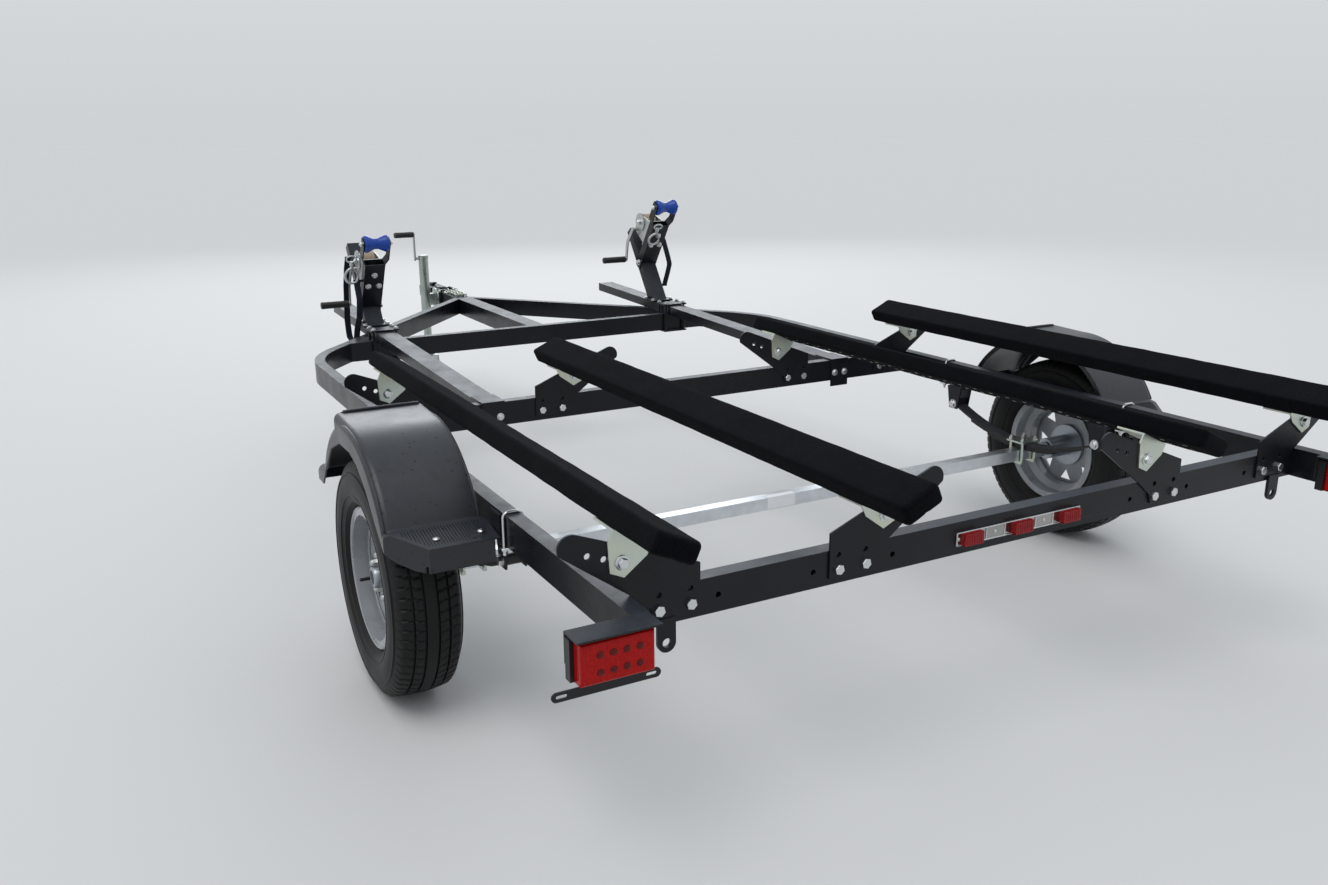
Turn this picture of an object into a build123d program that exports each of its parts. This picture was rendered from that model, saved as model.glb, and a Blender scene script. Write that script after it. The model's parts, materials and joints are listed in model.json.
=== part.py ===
from build123d import *
import os
from math import atan2, cos, degrees, hypot, radians, sin

# Two-place watercraft trailer, standing on its two road wheels and its jack.
# Millimetres. X is across (+X is the right side), +Y points to the coupler, +Z is up.
# The origin is on the floor, under the middle of the trailer's length and width.

# Overall places
overall_length = 4720.0
bunk_overhang = 165.0
frame_z = 482.0
rear_y = bunk_overhang - overall_length / 2
nose_y = overall_length / 2

# Frame tubes
tube_h = 76.2
tube_wall = 3.2
rail_w = 38.1
rail_tail = 80.0
rail_outer_x = 1040.0
rail_x = rail_outer_x - rail_w / 2
rail_bend_r = 480.0
cross_d = 38.1
tongue_w = 76.2
mid_cross_y = rear_y + 1580.0
front_cross_y = rear_y + 2855.0
bend_y = rear_y + 2645.0
vee_y = nose_y - 705.0
tongue_end_y = nose_y - 155.0
frame_top_z = frame_z + tube_h
plate_t = 5.0
fit_gap = 0.3
bolt_r = 6.5

# Keel rails, one under each craft
keel_x = 685.0
keel_w = 76.2
keel_h = 38.1
keel_rise = 0.0314
keel_tip_y = rear_y + 3585.0

# Bunk brackets, each drawn from its vertical edge towards its ear
bracket_foot = 15.0
bracket_edge = 115.0
ear_u = 295.0
outer_edge_x = rail_outer_x - 190.0
inner_edge_x = 540.0
outer_pivot = (170.0, 149.0)
inner_pivot = (137.0, 135.0)
pivot_r = 6.5

# Bunks: carpeted boards, tilted to face the keel of their craft
bunk_w = 97.0
bunk_t = 46.0
bunk_length = 1885.0
bunk_tilt = 25.0
bunk_round = 6.0
pivot_to_bunk = 55.0
saddle_w = 90.0

# Axle, springs and wheels
axle_y = rear_y + 942.0
axle_size = 38.1
axle_z = 308.0
wheel_x = rail_outer_x + 157.0
spindle_r = 16.0
tyre_r = axle_z
tyre_w = 180.0
flange_r = 183.0
rim_half_w = 68.0
rim_seat_r = 165.0
rim_well_r = 143.0
rim_t = 4.0
disc_x = wheel_x + 26.0
lug_circle_r = 57.15
hub_r = 36.0
vent_count = 8
vent_in_r = 92.0
vent_out_r = 128.0
spring_w = 44.5
spring_x = rail_outer_x - 42.0
leaf_t = 7.0
spring_front = rear_y + 1265.0
spring_rear = rear_y + 620.0
eye_z = frame_z - 62.0
eye_r = 14.0

# Fenders
fender_in_x = rail_outer_x + 20.0
fender_out_x = rail_outer_x + 250.0
fender_t = 4.0
fender_round = 20.0
fender_lip = 15.0
arch_r = 335.0
arch_y = rear_y + 965.0
arch_z = frame_z - 115.0

# Winch stands: where the arm is clamped to the mast, and the roller's axis, on each side
stand_foot_y = rear_y + 3015.0
mast_lean = 35.0
mast_len = 376.0
channel_w = 75.0
channel_d = 40.0
channel_t = 4.0
roller_len = 100.0
roller_r = 35.0
roller_waist_r = 22.0
roller_pin_r = 6.0
stands = {
    "left": {
        "x": -keel_x,
        "knee": (rear_y + 3053.0, frame_z + 194.0),
        "roller": (rear_y + 2878.0, frame_z + 471.0),
    },
    "right": {
        "x": keel_x,
        "knee": (rear_y + 3120.0, frame_z + 290.0),
        "roller": (rear_y + 2928.0, frame_z + 560.0),
    },
}

# Jack
jack_x = -110.0
jack_y = nose_y - 397.0
jack_pivot_z = frame_z + tube_h / 2
jack_outer_r = 25.0
jack_wall = 4.2
jack_inner_r = jack_outer_r - jack_wall - fit_gap
jack_top_z = frame_z + 273.0
jack_crank_z = frame_z + 258.0
jack_crank_len = 125.0
caster_r = 101.5
caster_w = 45.0
caster_trail = 62.0

os.makedirs("parts", exist_ok=True)


def block(x, y, z):
    """A box between (low, high) pairs."""
    size = [b - a for a, b in (x, y, z)]
    middle = [(a + b) / 2 for a, b in (x, y, z)]
    return Pos(*middle) * Box(*size)


def rod(start, end, radius):
    """A round bar between two points."""
    axis = Vector(*end) - Vector(*start)
    return extrude(Plane(origin=start, z_dir=axis) * Circle(radius), axis.length)


def outline(*points):
    """A flat face inside straight lines."""
    return make_face(Polyline(*points, close=True))


def prism_x(points, x0, x1):
    """A (y, z) outline carried from x0 to x1."""
    plane = Plane(origin=(x0, 0, 0), x_dir=(0, 1, 0), z_dir=(1, 0, 0))
    return extrude(plane * outline(*points), x1 - x0)


def flip(shape):
    """The same piece on the other side of the trailer."""
    return mirror(shape, about=Plane.YZ)


def save(name, *solids):
    """One STEP file for one node."""
    shape = solids[0] if len(solids) == 1 else Compound(children=[s for s in solids])
    export_step(shape, f"parts/{name}.step")


def keel_top(y):
    """Height of a keel rail's top face at y."""
    return frame_top_z + keel_rise * (y - front_cross_y) + keel_h


# Frame
def rail():
    """Side rail and tongue diagonal: one bent tube, mitred against the tongue."""
    run_on = 60.0
    mitre = 200.0
    slope = (rail_x - tongue_w / 2) / (vee_y - bend_y)
    points = [
        (rail_x, rear_y - rail_tail, frame_z + tube_h / 2),
        (rail_x, bend_y, frame_z + tube_h / 2),
        (tongue_w / 2 - run_on * slope, vee_y + run_on, frame_z + tube_h / 2),
    ]
    path = FilletPolyline(*points, radius=rail_bend_r)
    start = Plane(origin=points[0], x_dir=(1, 0, 0), z_dir=(0, 1, 0))
    outer = sweep(start * Rectangle(rail_w, tube_h), path=path)
    inner = sweep(start * Rectangle(rail_w - 2 * tube_wall, tube_h - 2 * tube_wall), path=path)
    beside = block(
        (-tongue_w, tongue_w / 2), (vee_y - mitre, vee_y + 2 * run_on), (frame_z - 1, frame_top_z + 1)
    )
    return outer - beside, outer - inner - beside


rail_envelope, rail_right = rail()
save("main_rail_right", rail_right)
save("main_rail_left", flip(rail_right))

spare_hole_x = (370.0, inner_edge_x + 38.0, outer_edge_x - 44.0)
spare_hole_z = frame_z + 36.0
cross_y = {"rear": rear_y, "mid": mid_cross_y, "front": front_cross_y}


def crossmember(name):
    """Rectangular tube between the rails, with the drilled spare holes."""
    y = cross_y[name]
    tube = block((-rail_outer_x, rail_outer_x), (y, y + cross_d), (frame_z, frame_top_z))
    tube -= block(
        (-rail_outer_x, rail_outer_x),
        (y + tube_wall, y + cross_d - tube_wall),
        (frame_z + tube_wall, frame_top_z - tube_wall),
    )
    tube -= rail_envelope
    tube -= flip(rail_envelope)
    for x in spare_hole_x if name == "rear" else ():
        for s in (-1, 1):
            tube -= rod((s * x, y - 1, spare_hole_z), (s * x, y + cross_d + 1, spare_hole_z), bolt_r)
    return max(tube.solids(), key=lambda s: s.volume)


for cross_name in cross_y:
    save(f"crossmember_{cross_name}", crossmember(cross_name))

tongue_rear_y = front_cross_y + cross_d
tongue = block((-tongue_w / 2, tongue_w / 2), (tongue_rear_y, tongue_end_y), (frame_z, frame_top_z))
tongue -= block(
    (-tongue_w / 2 + tube_wall, tongue_w / 2 - tube_wall),
    (tongue_rear_y - 1, tongue_end_y + 1),
    (frame_z + tube_wall, frame_top_z - tube_wall),
)
save("tongue_tube", tongue)

# Coupler: a channel over the tongue that narrows to the ball socket
ball_r = 25.4
socket_clear = 0.6
coupler_t = 5.0
ball_y = nose_y - ball_r - socket_clear - coupler_t
ball_z = frame_z + 36.0
sleeve_rear_y = tongue_end_y - 120.0
sleeve_half = tongue_w / 2 + coupler_t
dome_r = ball_r + socket_clear + coupler_t


def coupler():
    """Formed sleeve, neck and domed socket in one piece, with its latch lever."""
    plan = outline(
        (-sleeve_half, sleeve_rear_y),
        (sleeve_half, sleeve_rear_y),
        (sleeve_half, tongue_end_y + 8),
        (dome_r, ball_y - 8),
        (dome_r, ball_y),
        (-dome_r, ball_y),
        (-dome_r, ball_y - 8),
        (-sleeve_half, tongue_end_y + 8),
    )
    body = extrude(Pos(0, 0, frame_z + 8) * plan, tube_h + coupler_t - 8)
    body += rod((0, ball_y, ball_z - 12), (0, ball_y, frame_top_z + coupler_t), dome_r)
    body -= block(
        (-tongue_w / 2, tongue_w / 2), (sleeve_rear_y - 1, tongue_end_y), (frame_z - 1, frame_top_z)
    )
    slope_top = prism_x(
        [
            (tongue_end_y + 10, frame_top_z + coupler_t + 1),
            (nose_y + 1, frame_top_z + coupler_t + 1),
            (nose_y + 1, ball_z + dome_r - 4),
            (ball_y - 20, ball_z + dome_r + 2),
        ],
        -sleeve_half - 1,
        sleeve_half + 1,
    )
    body -= slope_top
    body -= Pos(0, ball_y, ball_z) * Sphere(ball_r + socket_clear)
    body -= Pos(0, ball_y, ball_z) * Cylinder(
        ball_r + socket_clear, 80, align=(Align.CENTER, Align.CENTER, Align.MAX)
    )
    hollow = block((-ball_r, ball_r), (tongue_end_y + 4, ball_y - dome_r), (frame_z, ball_z + 8))
    body -= hollow
    lever = prism_x(
        [
            (tongue_end_y - 60, frame_top_z + coupler_t + 12),
            (tongue_end_y - 60, frame_top_z + coupler_t + 20),
            (tongue_end_y - 5, frame_top_z + coupler_t + 14),
            (tongue_end_y + 8, frame_top_z + coupler_t),
            (tongue_end_y - 20, frame_top_z + coupler_t),
        ],
        -12,
        12,
    )
    return body + lever


save("coupler", coupler())


# Keel rails and their clamps
def keel_rail():
    """Sloping tube: rests on the front crossmember and butts on the mid one."""
    start_y = mid_cross_y + cross_d

    def face(inset):
        ends = (start_y - inset, keel_tip_y + inset)
        low = [(y, keel_top(y) - keel_h + inset) for y in ends]
        high = [(y, keel_top(y) - inset) for y in reversed(ends)]
        return low + high

    half = keel_w / 2
    tube = prism_x(face(0), keel_x - half, keel_x + half)
    tube -= prism_x(face(tube_wall), keel_x - half + tube_wall, keel_x + half - tube_wall)
    cap = prism_x(
        [
            (keel_tip_y - 12, keel_top(keel_tip_y - 12) - keel_h + tube_wall),
            (keel_tip_y, keel_top(keel_tip_y) - keel_h + tube_wall),
            (keel_tip_y, keel_top(keel_tip_y) - tube_wall),
            (keel_tip_y - 12, keel_top(keel_tip_y - 12) - tube_wall),
        ],
        keel_x - half + tube_wall,
        keel_x + half - tube_wall,
    )
    return tube + cap


save("keel_rail_right", keel_rail())
save("keel_rail_left", flip(keel_rail()))


def keel_clamp_set():
    """Bent saddle over the mid crossmember and clamp plate under the front one."""
    half = keel_w / 2
    top = frame_top_z
    reach = 60.0
    over = prism_x(
        [
            (mid_cross_y - plate_t, frame_z - 22),
            (mid_cross_y, frame_z - 22),
            (mid_cross_y, top),
            (mid_cross_y + cross_d + reach, keel_top(mid_cross_y + cross_d + reach)),
            (mid_cross_y + cross_d + reach, keel_top(mid_cross_y + cross_d + reach) + plate_t),
            (mid_cross_y - plate_t, top + plate_t),
        ],
        keel_x - half,
        keel_x + half,
    )
    y0 = front_cross_y - 22
    y1 = front_cross_y + cross_d + 22
    under = block((keel_x - half - 20, keel_x + half + 20), (y0, y1), (frame_z - 6, frame_z))
    studs = []
    for x in (keel_x - half - 9, keel_x + half + 9):
        for y in (y0 + 9, y1 - 9):
            studs.append(rod((x, y, frame_z - 6), (x, y, keel_top(y) + 6), 5))
    strap = block(
        (keel_x - half - 20, keel_x + half + 20),
        (y0, y1),
        (keel_top(y1) + fit_gap, keel_top(y1) + fit_gap + 6),
    )
    return over, under + strap + studs


clamps = keel_clamp_set()
save("keel_clamps", *clamps, *[flip(s) for s in clamps])


# Bunk brackets and the swivel saddles that the bunks are screwed to
def bracket_plate(y):
    """Laser-cut plate on a crossmember's rear face, ear towards +X."""
    plane = Plane(origin=(0, y, frame_z), x_dir=(1, 0, 0), z_dir=(0, -1, 0))
    ear_low = (ear_u, 182.0)
    ear_high = (ear_u - 34.0, 218.0)
    over_rail = (rail_outer_x - rail_w - outer_edge_x, tube_h + 0.8)
    lines = Polyline(
        ear_high, (0, bracket_edge), (0, bracket_foot), (100, bracket_foot), (108, 40), over_rail, ear_low
    )
    ear = ThreePointArc(ear_low, (ear_u - 4.0, 209.0), ear_high)
    plate = extrude(plane * make_face(lines.edges() + ear.edges()), plate_t)
    return plate


def bracket_holes(y, pivot):
    """Open holes of one bracket plate, as cutting bars."""
    places = [(22.0, 65.0), (92.0, 65.0), (238.0, 172.0), (205.0, 160.0), pivot]
    return [rod((u, y - plate_t - 1, frame_z + z), (u, y + 1, frame_z + z), bolt_r) for u, z in places]


bracket_table = [
    # (edge x, ear direction, pivot)
    (outer_edge_x, 1, outer_pivot),
    (inner_edge_x, -1, inner_pivot),
]


def brackets_at(y):
    """The right-hand pair of brackets on one crossmember."""
    pair = []
    for edge_x, way, pivot in bracket_table:
        plate = bracket_plate(y)
        for bar in bracket_holes(y, pivot):
            plate -= bar
        if way < 0:
            plate = flip(plate)
        pair.append(Pos(edge_x, 0, 0) * plate)
    return pair


bracket_solids = brackets_at(rear_y) + brackets_at(mid_cross_y)
save("bunk_brackets", *bracket_solids, *[flip(s) for s in bracket_solids])


def bunk_frame(edge_x, way, pivot):
    """Centre of a bunk's underside in x and z, and its tilt about Y."""
    px = edge_x + way * pivot[0]
    pz = frame_z + pivot[1]
    lean = way * radians(bunk_tilt)
    return px - sin(lean) * pivot_to_bunk, pz + cos(lean) * pivot_to_bunk, -way * bunk_tilt


def saddle(edge_x, way, pivot, y):
    """Bent zinc plate that hangs on the pivot bolt and carries the bunk."""
    x, z, tilt = bunk_frame(edge_x, way, pivot)
    drop = pivot_to_bunk
    half = saddle_w / 2
    plane = Plane(origin=(0, 0, 0), x_dir=(1, 0, 0), z_dir=(0, -1, 0))
    face = outline((-half, 0), (half, 0), (half, -28), (16, -drop - 26), (-16, -drop - 26), (-half, -28))
    plate = extrude(plane * face, plate_t)
    shelf = block((-half, half), (-plate_t, 75), (-plate_t, 0))
    hole = rod((0, -plate_t - 1, -drop), (0, 1, -drop), pivot_r)
    bent = plate + shelf - hole
    return Pos(x, y - plate_t, z - fit_gap) * Rot(0, tilt, 0) * bent


saddles = [saddle(*row, y) for y in (rear_y, mid_cross_y) for row in bracket_table]
save("bunk_saddles", *saddles, *[flip(s) for s in saddles])


def bunk(edge_x, way, pivot):
    """Carpeted board with rounded long edges."""
    x, z, tilt = bunk_frame(edge_x, way, pivot)
    start = Plane(origin=(0, 0, 0), x_dir=(1, 0, 0), z_dir=(0, -1, 0))
    section = start * Pos(0, bunk_t / 2) * RectangleRounded(bunk_w, bunk_t, bunk_round)
    board = extrude(section, -bunk_length)
    return Pos(x, rear_y - bunk_overhang, z) * Rot(0, tilt, 0) * board


for place, row in zip(("outer", "inner"), bracket_table):
    save(f"bunk_{place}_right", bunk(*row))
    save(f"bunk_{place}_left", flip(bunk(*row)))

# Axle with a round spindle at each end
half_axle = axle_size / 2
hub_in_x = wheel_x - 90.0
axle_half = hub_in_x - 22.0
axle = block(
    (-axle_half, axle_half),
    (axle_y - half_axle, axle_y + half_axle),
    (axle_z - half_axle, axle_z + half_axle),
)
hub_out_x = disc_x
spindle_end = hub_out_x + 8.0
for s in (-1, 1):
    axle += rod((s * axle_half, axle_y, axle_z), (s * (hub_in_x - 6), axle_y, axle_z), 24)
    axle += rod((s * (hub_in_x - 6), axle_y, axle_z), (s * spindle_end, axle_y, axle_z), spindle_r)
save("axle", axle)


# Leaf springs on top of the axle
spring_seat_z = axle_z + half_axle


def leaf(half_span, level, camber_r):
    """One leaf: a curved strip level steps up the pack."""
    top = spring_seat_z + 3 * (leaf_t + fit_gap) - level * (leaf_t + fit_gap)
    rise = camber_r - (camber_r**2 - half_span**2) ** 0.5
    plane = Plane(origin=(spring_x - spring_w / 2, axle_y, 0), x_dir=(0, 1, 0), z_dir=(1, 0, 0))
    low = top - leaf_t
    low_arc = ThreePointArc((-half_span, low + rise), (0, low), (half_span, low + rise))
    high_arc = ThreePointArc((-half_span, top + rise), (0, top), (half_span, top + rise))
    ends = Line(low_arc @ 0, high_arc @ 0).edges() + Line(low_arc @ 1, high_arc @ 1).edges()
    return extrude(plane * make_face(low_arc.edges() + high_arc.edges() + ends), spring_w)


main_rise = eye_z - (spring_seat_z + 3 * (leaf_t + fit_gap)) + 2.0
main_half = (spring_front - spring_rear) / 2
spring_r = (main_half**2 + main_rise**2) / (2 * main_rise)
leaf_shares = (1.0, 0.72, 0.45)
leaves = [leaf(main_half * share, level, spring_r) for level, share in enumerate(leaf_shares)]
eyes = []
for y in (axle_y - main_half, axle_y + main_half):
    ring = rod((spring_x - spring_w / 2, y, eye_z), (spring_x + spring_w / 2, y, eye_z), eye_r)
    ring -= rod((spring_x - spring_w, y, eye_z), (spring_x + spring_w, y, eye_z), 7.3)
    eyes.append((y, ring))
main_leaf = leaves[0]
for y, ring in eyes:
    main_leaf -= rod((spring_x - spring_w, y, eye_z), (spring_x + spring_w, y, eye_z), eye_r)
    main_leaf += ring
springs = [main_leaf] + leaves[1:]
save("leaf_springs", *springs, *[flip(s) for s in springs])


# Spring hangers under the rails
def hanger(y):
    """Two cheeks and a web welded under the rail, with the eye bolt across."""
    cheek_in = spring_x - spring_w / 2 - fit_gap - 5
    cheek_out = spring_x + spring_w / 2 + fit_gap
    shape = [(y - 34, frame_z), (y + 34, frame_z), (y + 20, eye_z - 18), (y - 20, eye_z - 18)]
    solid = prism_x(shape, cheek_in, cheek_in + 5) + prism_x(shape, cheek_out, cheek_out + 5)
    solid += block((cheek_in, rail_outer_x - 4), (y - 34, y + 34), (frame_z - 5, frame_z))
    solid += rod((cheek_in - 8, y, eye_z), (cheek_out + 13, y, eye_z), 7)
    return solid


hanger_y = (axle_y - main_half, axle_y + main_half)
hangers = [hanger(y) for y in hanger_y]
save("spring_hangers", *hangers, *[flip(s) for s in hangers])


# Clamp plate and U-bolts that hold the springs to the axle
def axle_clamp():
    """Tie plate on the spring and two U-bolts under the axle."""
    z_top = spring_seat_z + 3 * (leaf_t + fit_gap)
    reach = half_axle + 7.0
    wide = spring_w / 2 + 7.0
    tie = block(
        (spring_x - wide - 10, spring_x + wide + 10),
        (axle_y - reach - 12, axle_y + reach + 12),
        (z_top + 1.4, z_top + 7.4),
    )
    bolts = []
    for x in (spring_x - wide, spring_x + wide):
        for y in (axle_y - reach, axle_y + reach):
            bolts.append(rod((x, y, axle_z - half_axle - 11), (x, y, z_top + 22), 5))
        under = axle_z - half_axle
        bolts.append(block((x - 5, x + 5), (axle_y - reach - 5, axle_y + reach + 5), (under - 11, under - 1)))
    return tie + bolts


save("axle_clamps", axle_clamp(), flip(axle_clamp()))


# Wheels
def turned(points):
    """Revolve (x, r) points about the wheel axis."""
    plane = Plane(origin=(0, axle_y, axle_z), x_dir=(1, 0, 0), z_dir=(0, -1, 0))
    return revolve(plane * outline(*points), Axis((0, axle_y, axle_z), (1, 0, 0)), 360)


def hub():
    """Turned hub on the spindle with its dust cap."""
    gap_r = spindle_r + fit_gap
    face = disc_x - rim_t / 2 - fit_gap
    cap = hub_out_x + 34
    return turned(
        [
            (hub_in_x, gap_r),
            (hub_in_x, hub_r),
            (face - 12, hub_r),
            (face - 12, lug_circle_r + 14),
            (face, lug_circle_r + 14),
            (face, 27),
            (cap - 4, 25),
            (cap, 21),
            (cap, 0),
            (spindle_end + 3, 0),
            (spindle_end + 3, gap_r),
        ]
    )


def rim():
    """Rolled rim with a dropped centre and the pressed disc."""
    w = rim_half_w
    t = rim_t
    outer = [(-w + t, flange_r), (-w + t, rim_seat_r), (-26, rim_seat_r), (-14, rim_well_r)]
    inner = [(16, rim_well_r - t), (28, rim_seat_r - t), (w, rim_seat_r - t), (w, flange_r)]
    outer += [(-x, r) for x, r in reversed(outer)]
    inner = [(-x, r) for x, r in reversed(inner)] + inner
    shell = turned([(wheel_x + x, r) for x, r in outer + inner[::-1]])
    d = disc_x - wheel_x
    disc = turned(
        [
            (wheel_x + d - rim_t / 2, 27.5),
            (wheel_x + d + rim_t / 2, 27.5),
            (wheel_x + d + rim_t / 2, rim_well_r - rim_t + 18),
            (wheel_x + d - rim_t / 2, rim_well_r - rim_t + 18),
        ]
    )
    for i in range(vent_count):
        vent = Plane(origin=(disc_x - 9, axle_y, axle_z), x_dir=(0, 1, 0), z_dir=(1, 0, 0))
        cut = outline((vent_in_r, 0), (vent_out_r, -22), (vent_out_r, 22))
        disc -= extrude(vent * Rot(0, 0, 360 / vent_count * i) * cut, 18)
    return shell + disc


def tyre():
    """Tyre on its bead seats, loaded radius."""
    half = tyre_w / 2
    bead = rim_half_w - 5
    plane = Plane(origin=(wheel_x, axle_y, axle_z), x_dir=(1, 0, 0), z_dir=(0, -1, 0))
    seat = rim_seat_r + fit_gap
    tread_half = half - 22
    edges = []
    for s in (-1, 1):
        edges += Line((s * bead, seat), (s * (bead - 1), flange_r + 2)).edges()
        bulge = (s * half, (flange_r + tyre_r) / 2 - 6)
        edges += ThreePointArc((s * (bead - 1), flange_r + 2), bulge, (s * tread_half, tyre_r - 7)).edges()
    edges += ThreePointArc((-tread_half, tyre_r - 7), (0, tyre_r), (tread_half, tyre_r - 7)).edges()
    edges += Line((-bead, seat), (bead, seat)).edges()
    return revolve(plane * make_face(edges), Axis((0, axle_y, axle_z), (1, 0, 0)), 360)


for name, solid in (("hub", hub()), ("rim", rim()), ("tyre", tyre())):
    save(f"{name}_right", solid)
    save(f"{name}_left", flip(solid))


# Fenders
step_rear_y = rear_y + 563.0
step_rear_z = frame_z + 19.0
step_front_y = rear_y + 668.0
apron_z = frame_z - 39.0
shelf_y = rear_y + 1095.0
shelf_z = frame_z + 225.0
toe_y = rear_y + 1262.0
front_y = rear_y + 1335.0
front_z = frame_z + 28.0
front_foot_z = frame_z - 13.0
corner_cut = 65.0
corner_run = 90.0
arm_w = 40.0
arm_t = 8.0
cleat_t = 6.0


def arch_point(y):
    """Point of the fender's round arch at y."""
    return y, arch_z + (arch_r**2 - (y - arch_y) ** 2) ** 0.5


def fender_face():
    """Side outline of a fender: rear step, arch, top shelf, arch again and front step."""
    foot = arch_point(step_front_y)
    crown = (arch_y, arch_z + arch_r)
    drop = arch_point(shelf_y)
    toe = arch_point(toe_y)
    rear_arc = ThreePointArc(foot, arch_point(step_front_y + 110), crown)
    front_arc = ThreePointArc(drop, arch_point((shelf_y + toe_y) / 2), toe)
    shelf = Polyline(crown, (shelf_y, shelf_z), drop)
    around = Polyline(
        toe, (front_y, front_z), (front_y, apron_z), (step_rear_y, apron_z), (step_rear_y, step_rear_z), foot
    )
    return make_face(rear_arc.edges() + shelf.edges() + front_arc.edges() + around.edges())


def fender_block(inset, x0):
    """Solid inside a fender's skin, inset from it, with its rounded top edge and cut rear corner."""
    x1 = fender_out_x - inset
    plane = Plane(origin=(x0, 0, 0), x_dir=(0, 1, 0), z_dir=(1, 0, 0))
    face = fender_face()
    if inset:
        face = offset(face, -inset, kind=Kind.INTERSECTION)
    solid = extrude(plane * face, x1 - x0)
    rounded = [e for e in solid.edges() if abs(e.center().X - x1) < 0.1 and e.center().Z > step_rear_z]
    solid = fillet(rounded, fender_round - inset)
    reach = 50.0
    slant = corner_cut / corner_run
    corner = extrude(
        outline(
            (x1 + reach, step_front_y + reach / slant),
            (x1 + reach, step_rear_y - reach),
            (fender_out_x - corner_cut - reach * slant - inset, step_front_y - corner_run - reach),
        ),
        frame_top_z + arch_r,
    )
    return solid - corner


def step_under(y, near, far):
    """Height of the underside of a step between two points of its top."""
    grade = (far[1] - near[1]) / (far[0] - near[0])
    return near[1] + grade * (y - near[0]) - fender_t * (1 + grade**2) ** 0.5 - fit_gap


step_lines = {
    # Name: start of the arm, and two points of the step's top
    "rear": (step_rear_y + 18.0, (step_rear_y, step_rear_z), arch_point(step_front_y)),
    "front": (toe_y + 18.0, arch_point(toe_y), (front_y, front_z)),
}


def under_step(name, low, margin):
    """Outline of the strip under a step that its arm takes."""
    start, near, far = step_lines[name]
    ends = (start - margin, start + arm_w + margin)
    top = [(y, step_under(y, near, far)) for y in ends]
    return [(ends[0], top[0][1] - low), (ends[1], top[1][1] - low), top[1], top[0]]


def fender():
    """Moulded fender: arches, top shelf, steps, outer skirt and the rolled inner edge."""
    body = fender_block(0, fender_in_x) - fender_block(fender_t, fender_in_x + fender_t)
    mouth = offset(fender_face(), -fender_lip, kind=Kind.INTERSECTION)
    inner_plane = Plane(origin=(fender_in_x - 1, 0, 0), x_dir=(0, 1, 0), z_dir=(1, 0, 0))
    body -= extrude(inner_plane * mouth, fender_t + 2)
    body -= block(
        (fender_in_x - 1, fender_out_x - fender_t - corner_cut),
        (step_rear_y + fender_t, front_y - fender_t),
        (apron_z - 1, apron_z + fender_lip + 1),
    )
    body -= block(
        (fender_in_x + fender_t, fender_out_x - fender_t),
        (step_front_y, front_y - fender_t),
        (apron_z - 1, apron_z + fender_lip + 1),
    )
    body -= prism_x(
        [
            (rear_y + 590, apron_z - 2),
            (rear_y + 640, frame_z - 28),
            (rear_y + 680, frame_z - 5),
            (rear_y + 744, frame_z + 52),
            (rear_y + 800, frame_z + 105),
            (rear_y + 870, frame_z + 146),
            (rear_y + 934, frame_z + 162),
            (rear_y + 1041, frame_z + 160),
            (rear_y + 1141, frame_z + 122),
            (rear_y + 1236, frame_z + 38),
            (rear_y + 1288, front_foot_z - 8),
            (rear_y + 1300, apron_z - 2),
        ],
        fender_in_x + 2 * fender_t,
        fender_out_x + 1,
    )
    body -= block(
        (fender_in_x - 1, fender_out_x + 1), (rear_y + 1230, front_y + 1), (apron_z - 2, front_foot_z)
    )
    for name, (_, near, far) in step_lines.items():
        body -= prism_x(under_step(name, 60, 2), fender_in_x - 1, fender_in_x + fender_t + 1)
        under = [(y, step_under(y, near, far) + fit_gap) for y in (far[0], near[0])]
        body += prism_x([near, far] + under, rail_outer_x + cleat_t + 1, fender_in_x + fender_t)
    return max(body.solids(), key=lambda s: s.volume)


fender_right = fender()
save("fender_right", fender_right)
save("fender_left", flip(fender_right))


def fender_arms():
    """Flat arms from the rail out under each step, with a cleat on the rail's outer face."""
    arms = []
    for name, (start, _, _) in step_lines.items():
        arm = prism_x(under_step(name, arm_t, 0), rail_outer_x, fender_out_x - corner_cut - 15)
        cleat_y = (start - 12, start + arm_w + 12)
        cleat = block((rail_outer_x, rail_outer_x + cleat_t), cleat_y, (frame_z + 4, frame_top_z - 6))
        arms.append(arm + cleat)
    return arms


arms = fender_arms()
save("fender_arms", *arms, *[flip(s) for s in arms])

# Tail lamps on the rails' ends, and the plate bar under the left one
lamp_plate_t = 4.0
lamp_plate_d = 60.0
lamp_flange_h = 62.0
lamp_w = 162.0
lamp_low_z = frame_z - 14.0
lamp_high_z = frame_z + 66.0
housing_d = 20.0
lens_d = 30.0
lens_margin = 8.0
lamp_in_x = {"left": rail_outer_x - 30.0, "right": rail_outer_x - 55.0}
rail_end_y = rear_y - rail_tail
housing_y = rail_end_y - lamp_plate_t - housing_d


def tail_light(in_x):
    """Bracket on the rail's end with its brow plate, and the lamp's dark housing."""
    wide = (in_x - 5, in_x + lamp_w)
    brow = block(wide, (rail_end_y - lamp_plate_d, rail_end_y), (frame_top_z - lamp_plate_t, frame_top_z))
    flange = block(wide, (rail_end_y - lamp_plate_t, rail_end_y), (frame_top_z - lamp_flange_h, frame_top_z))
    housing = block((in_x, in_x + lamp_w), (housing_y, rail_end_y - lamp_plate_t), (lamp_low_z, lamp_high_z))
    return brow + flange + housing


def tail_lens(in_x):
    """Red lens with rounded edges behind the housing."""
    lens = block(
        (in_x + lens_margin, in_x + lamp_w - lens_margin),
        (housing_y - lens_d, housing_y - fit_gap),
        (lamp_low_z, lamp_high_z),
    )
    return fillet(lens.edges().group_by(Axis.Y)[0], 6)


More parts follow.
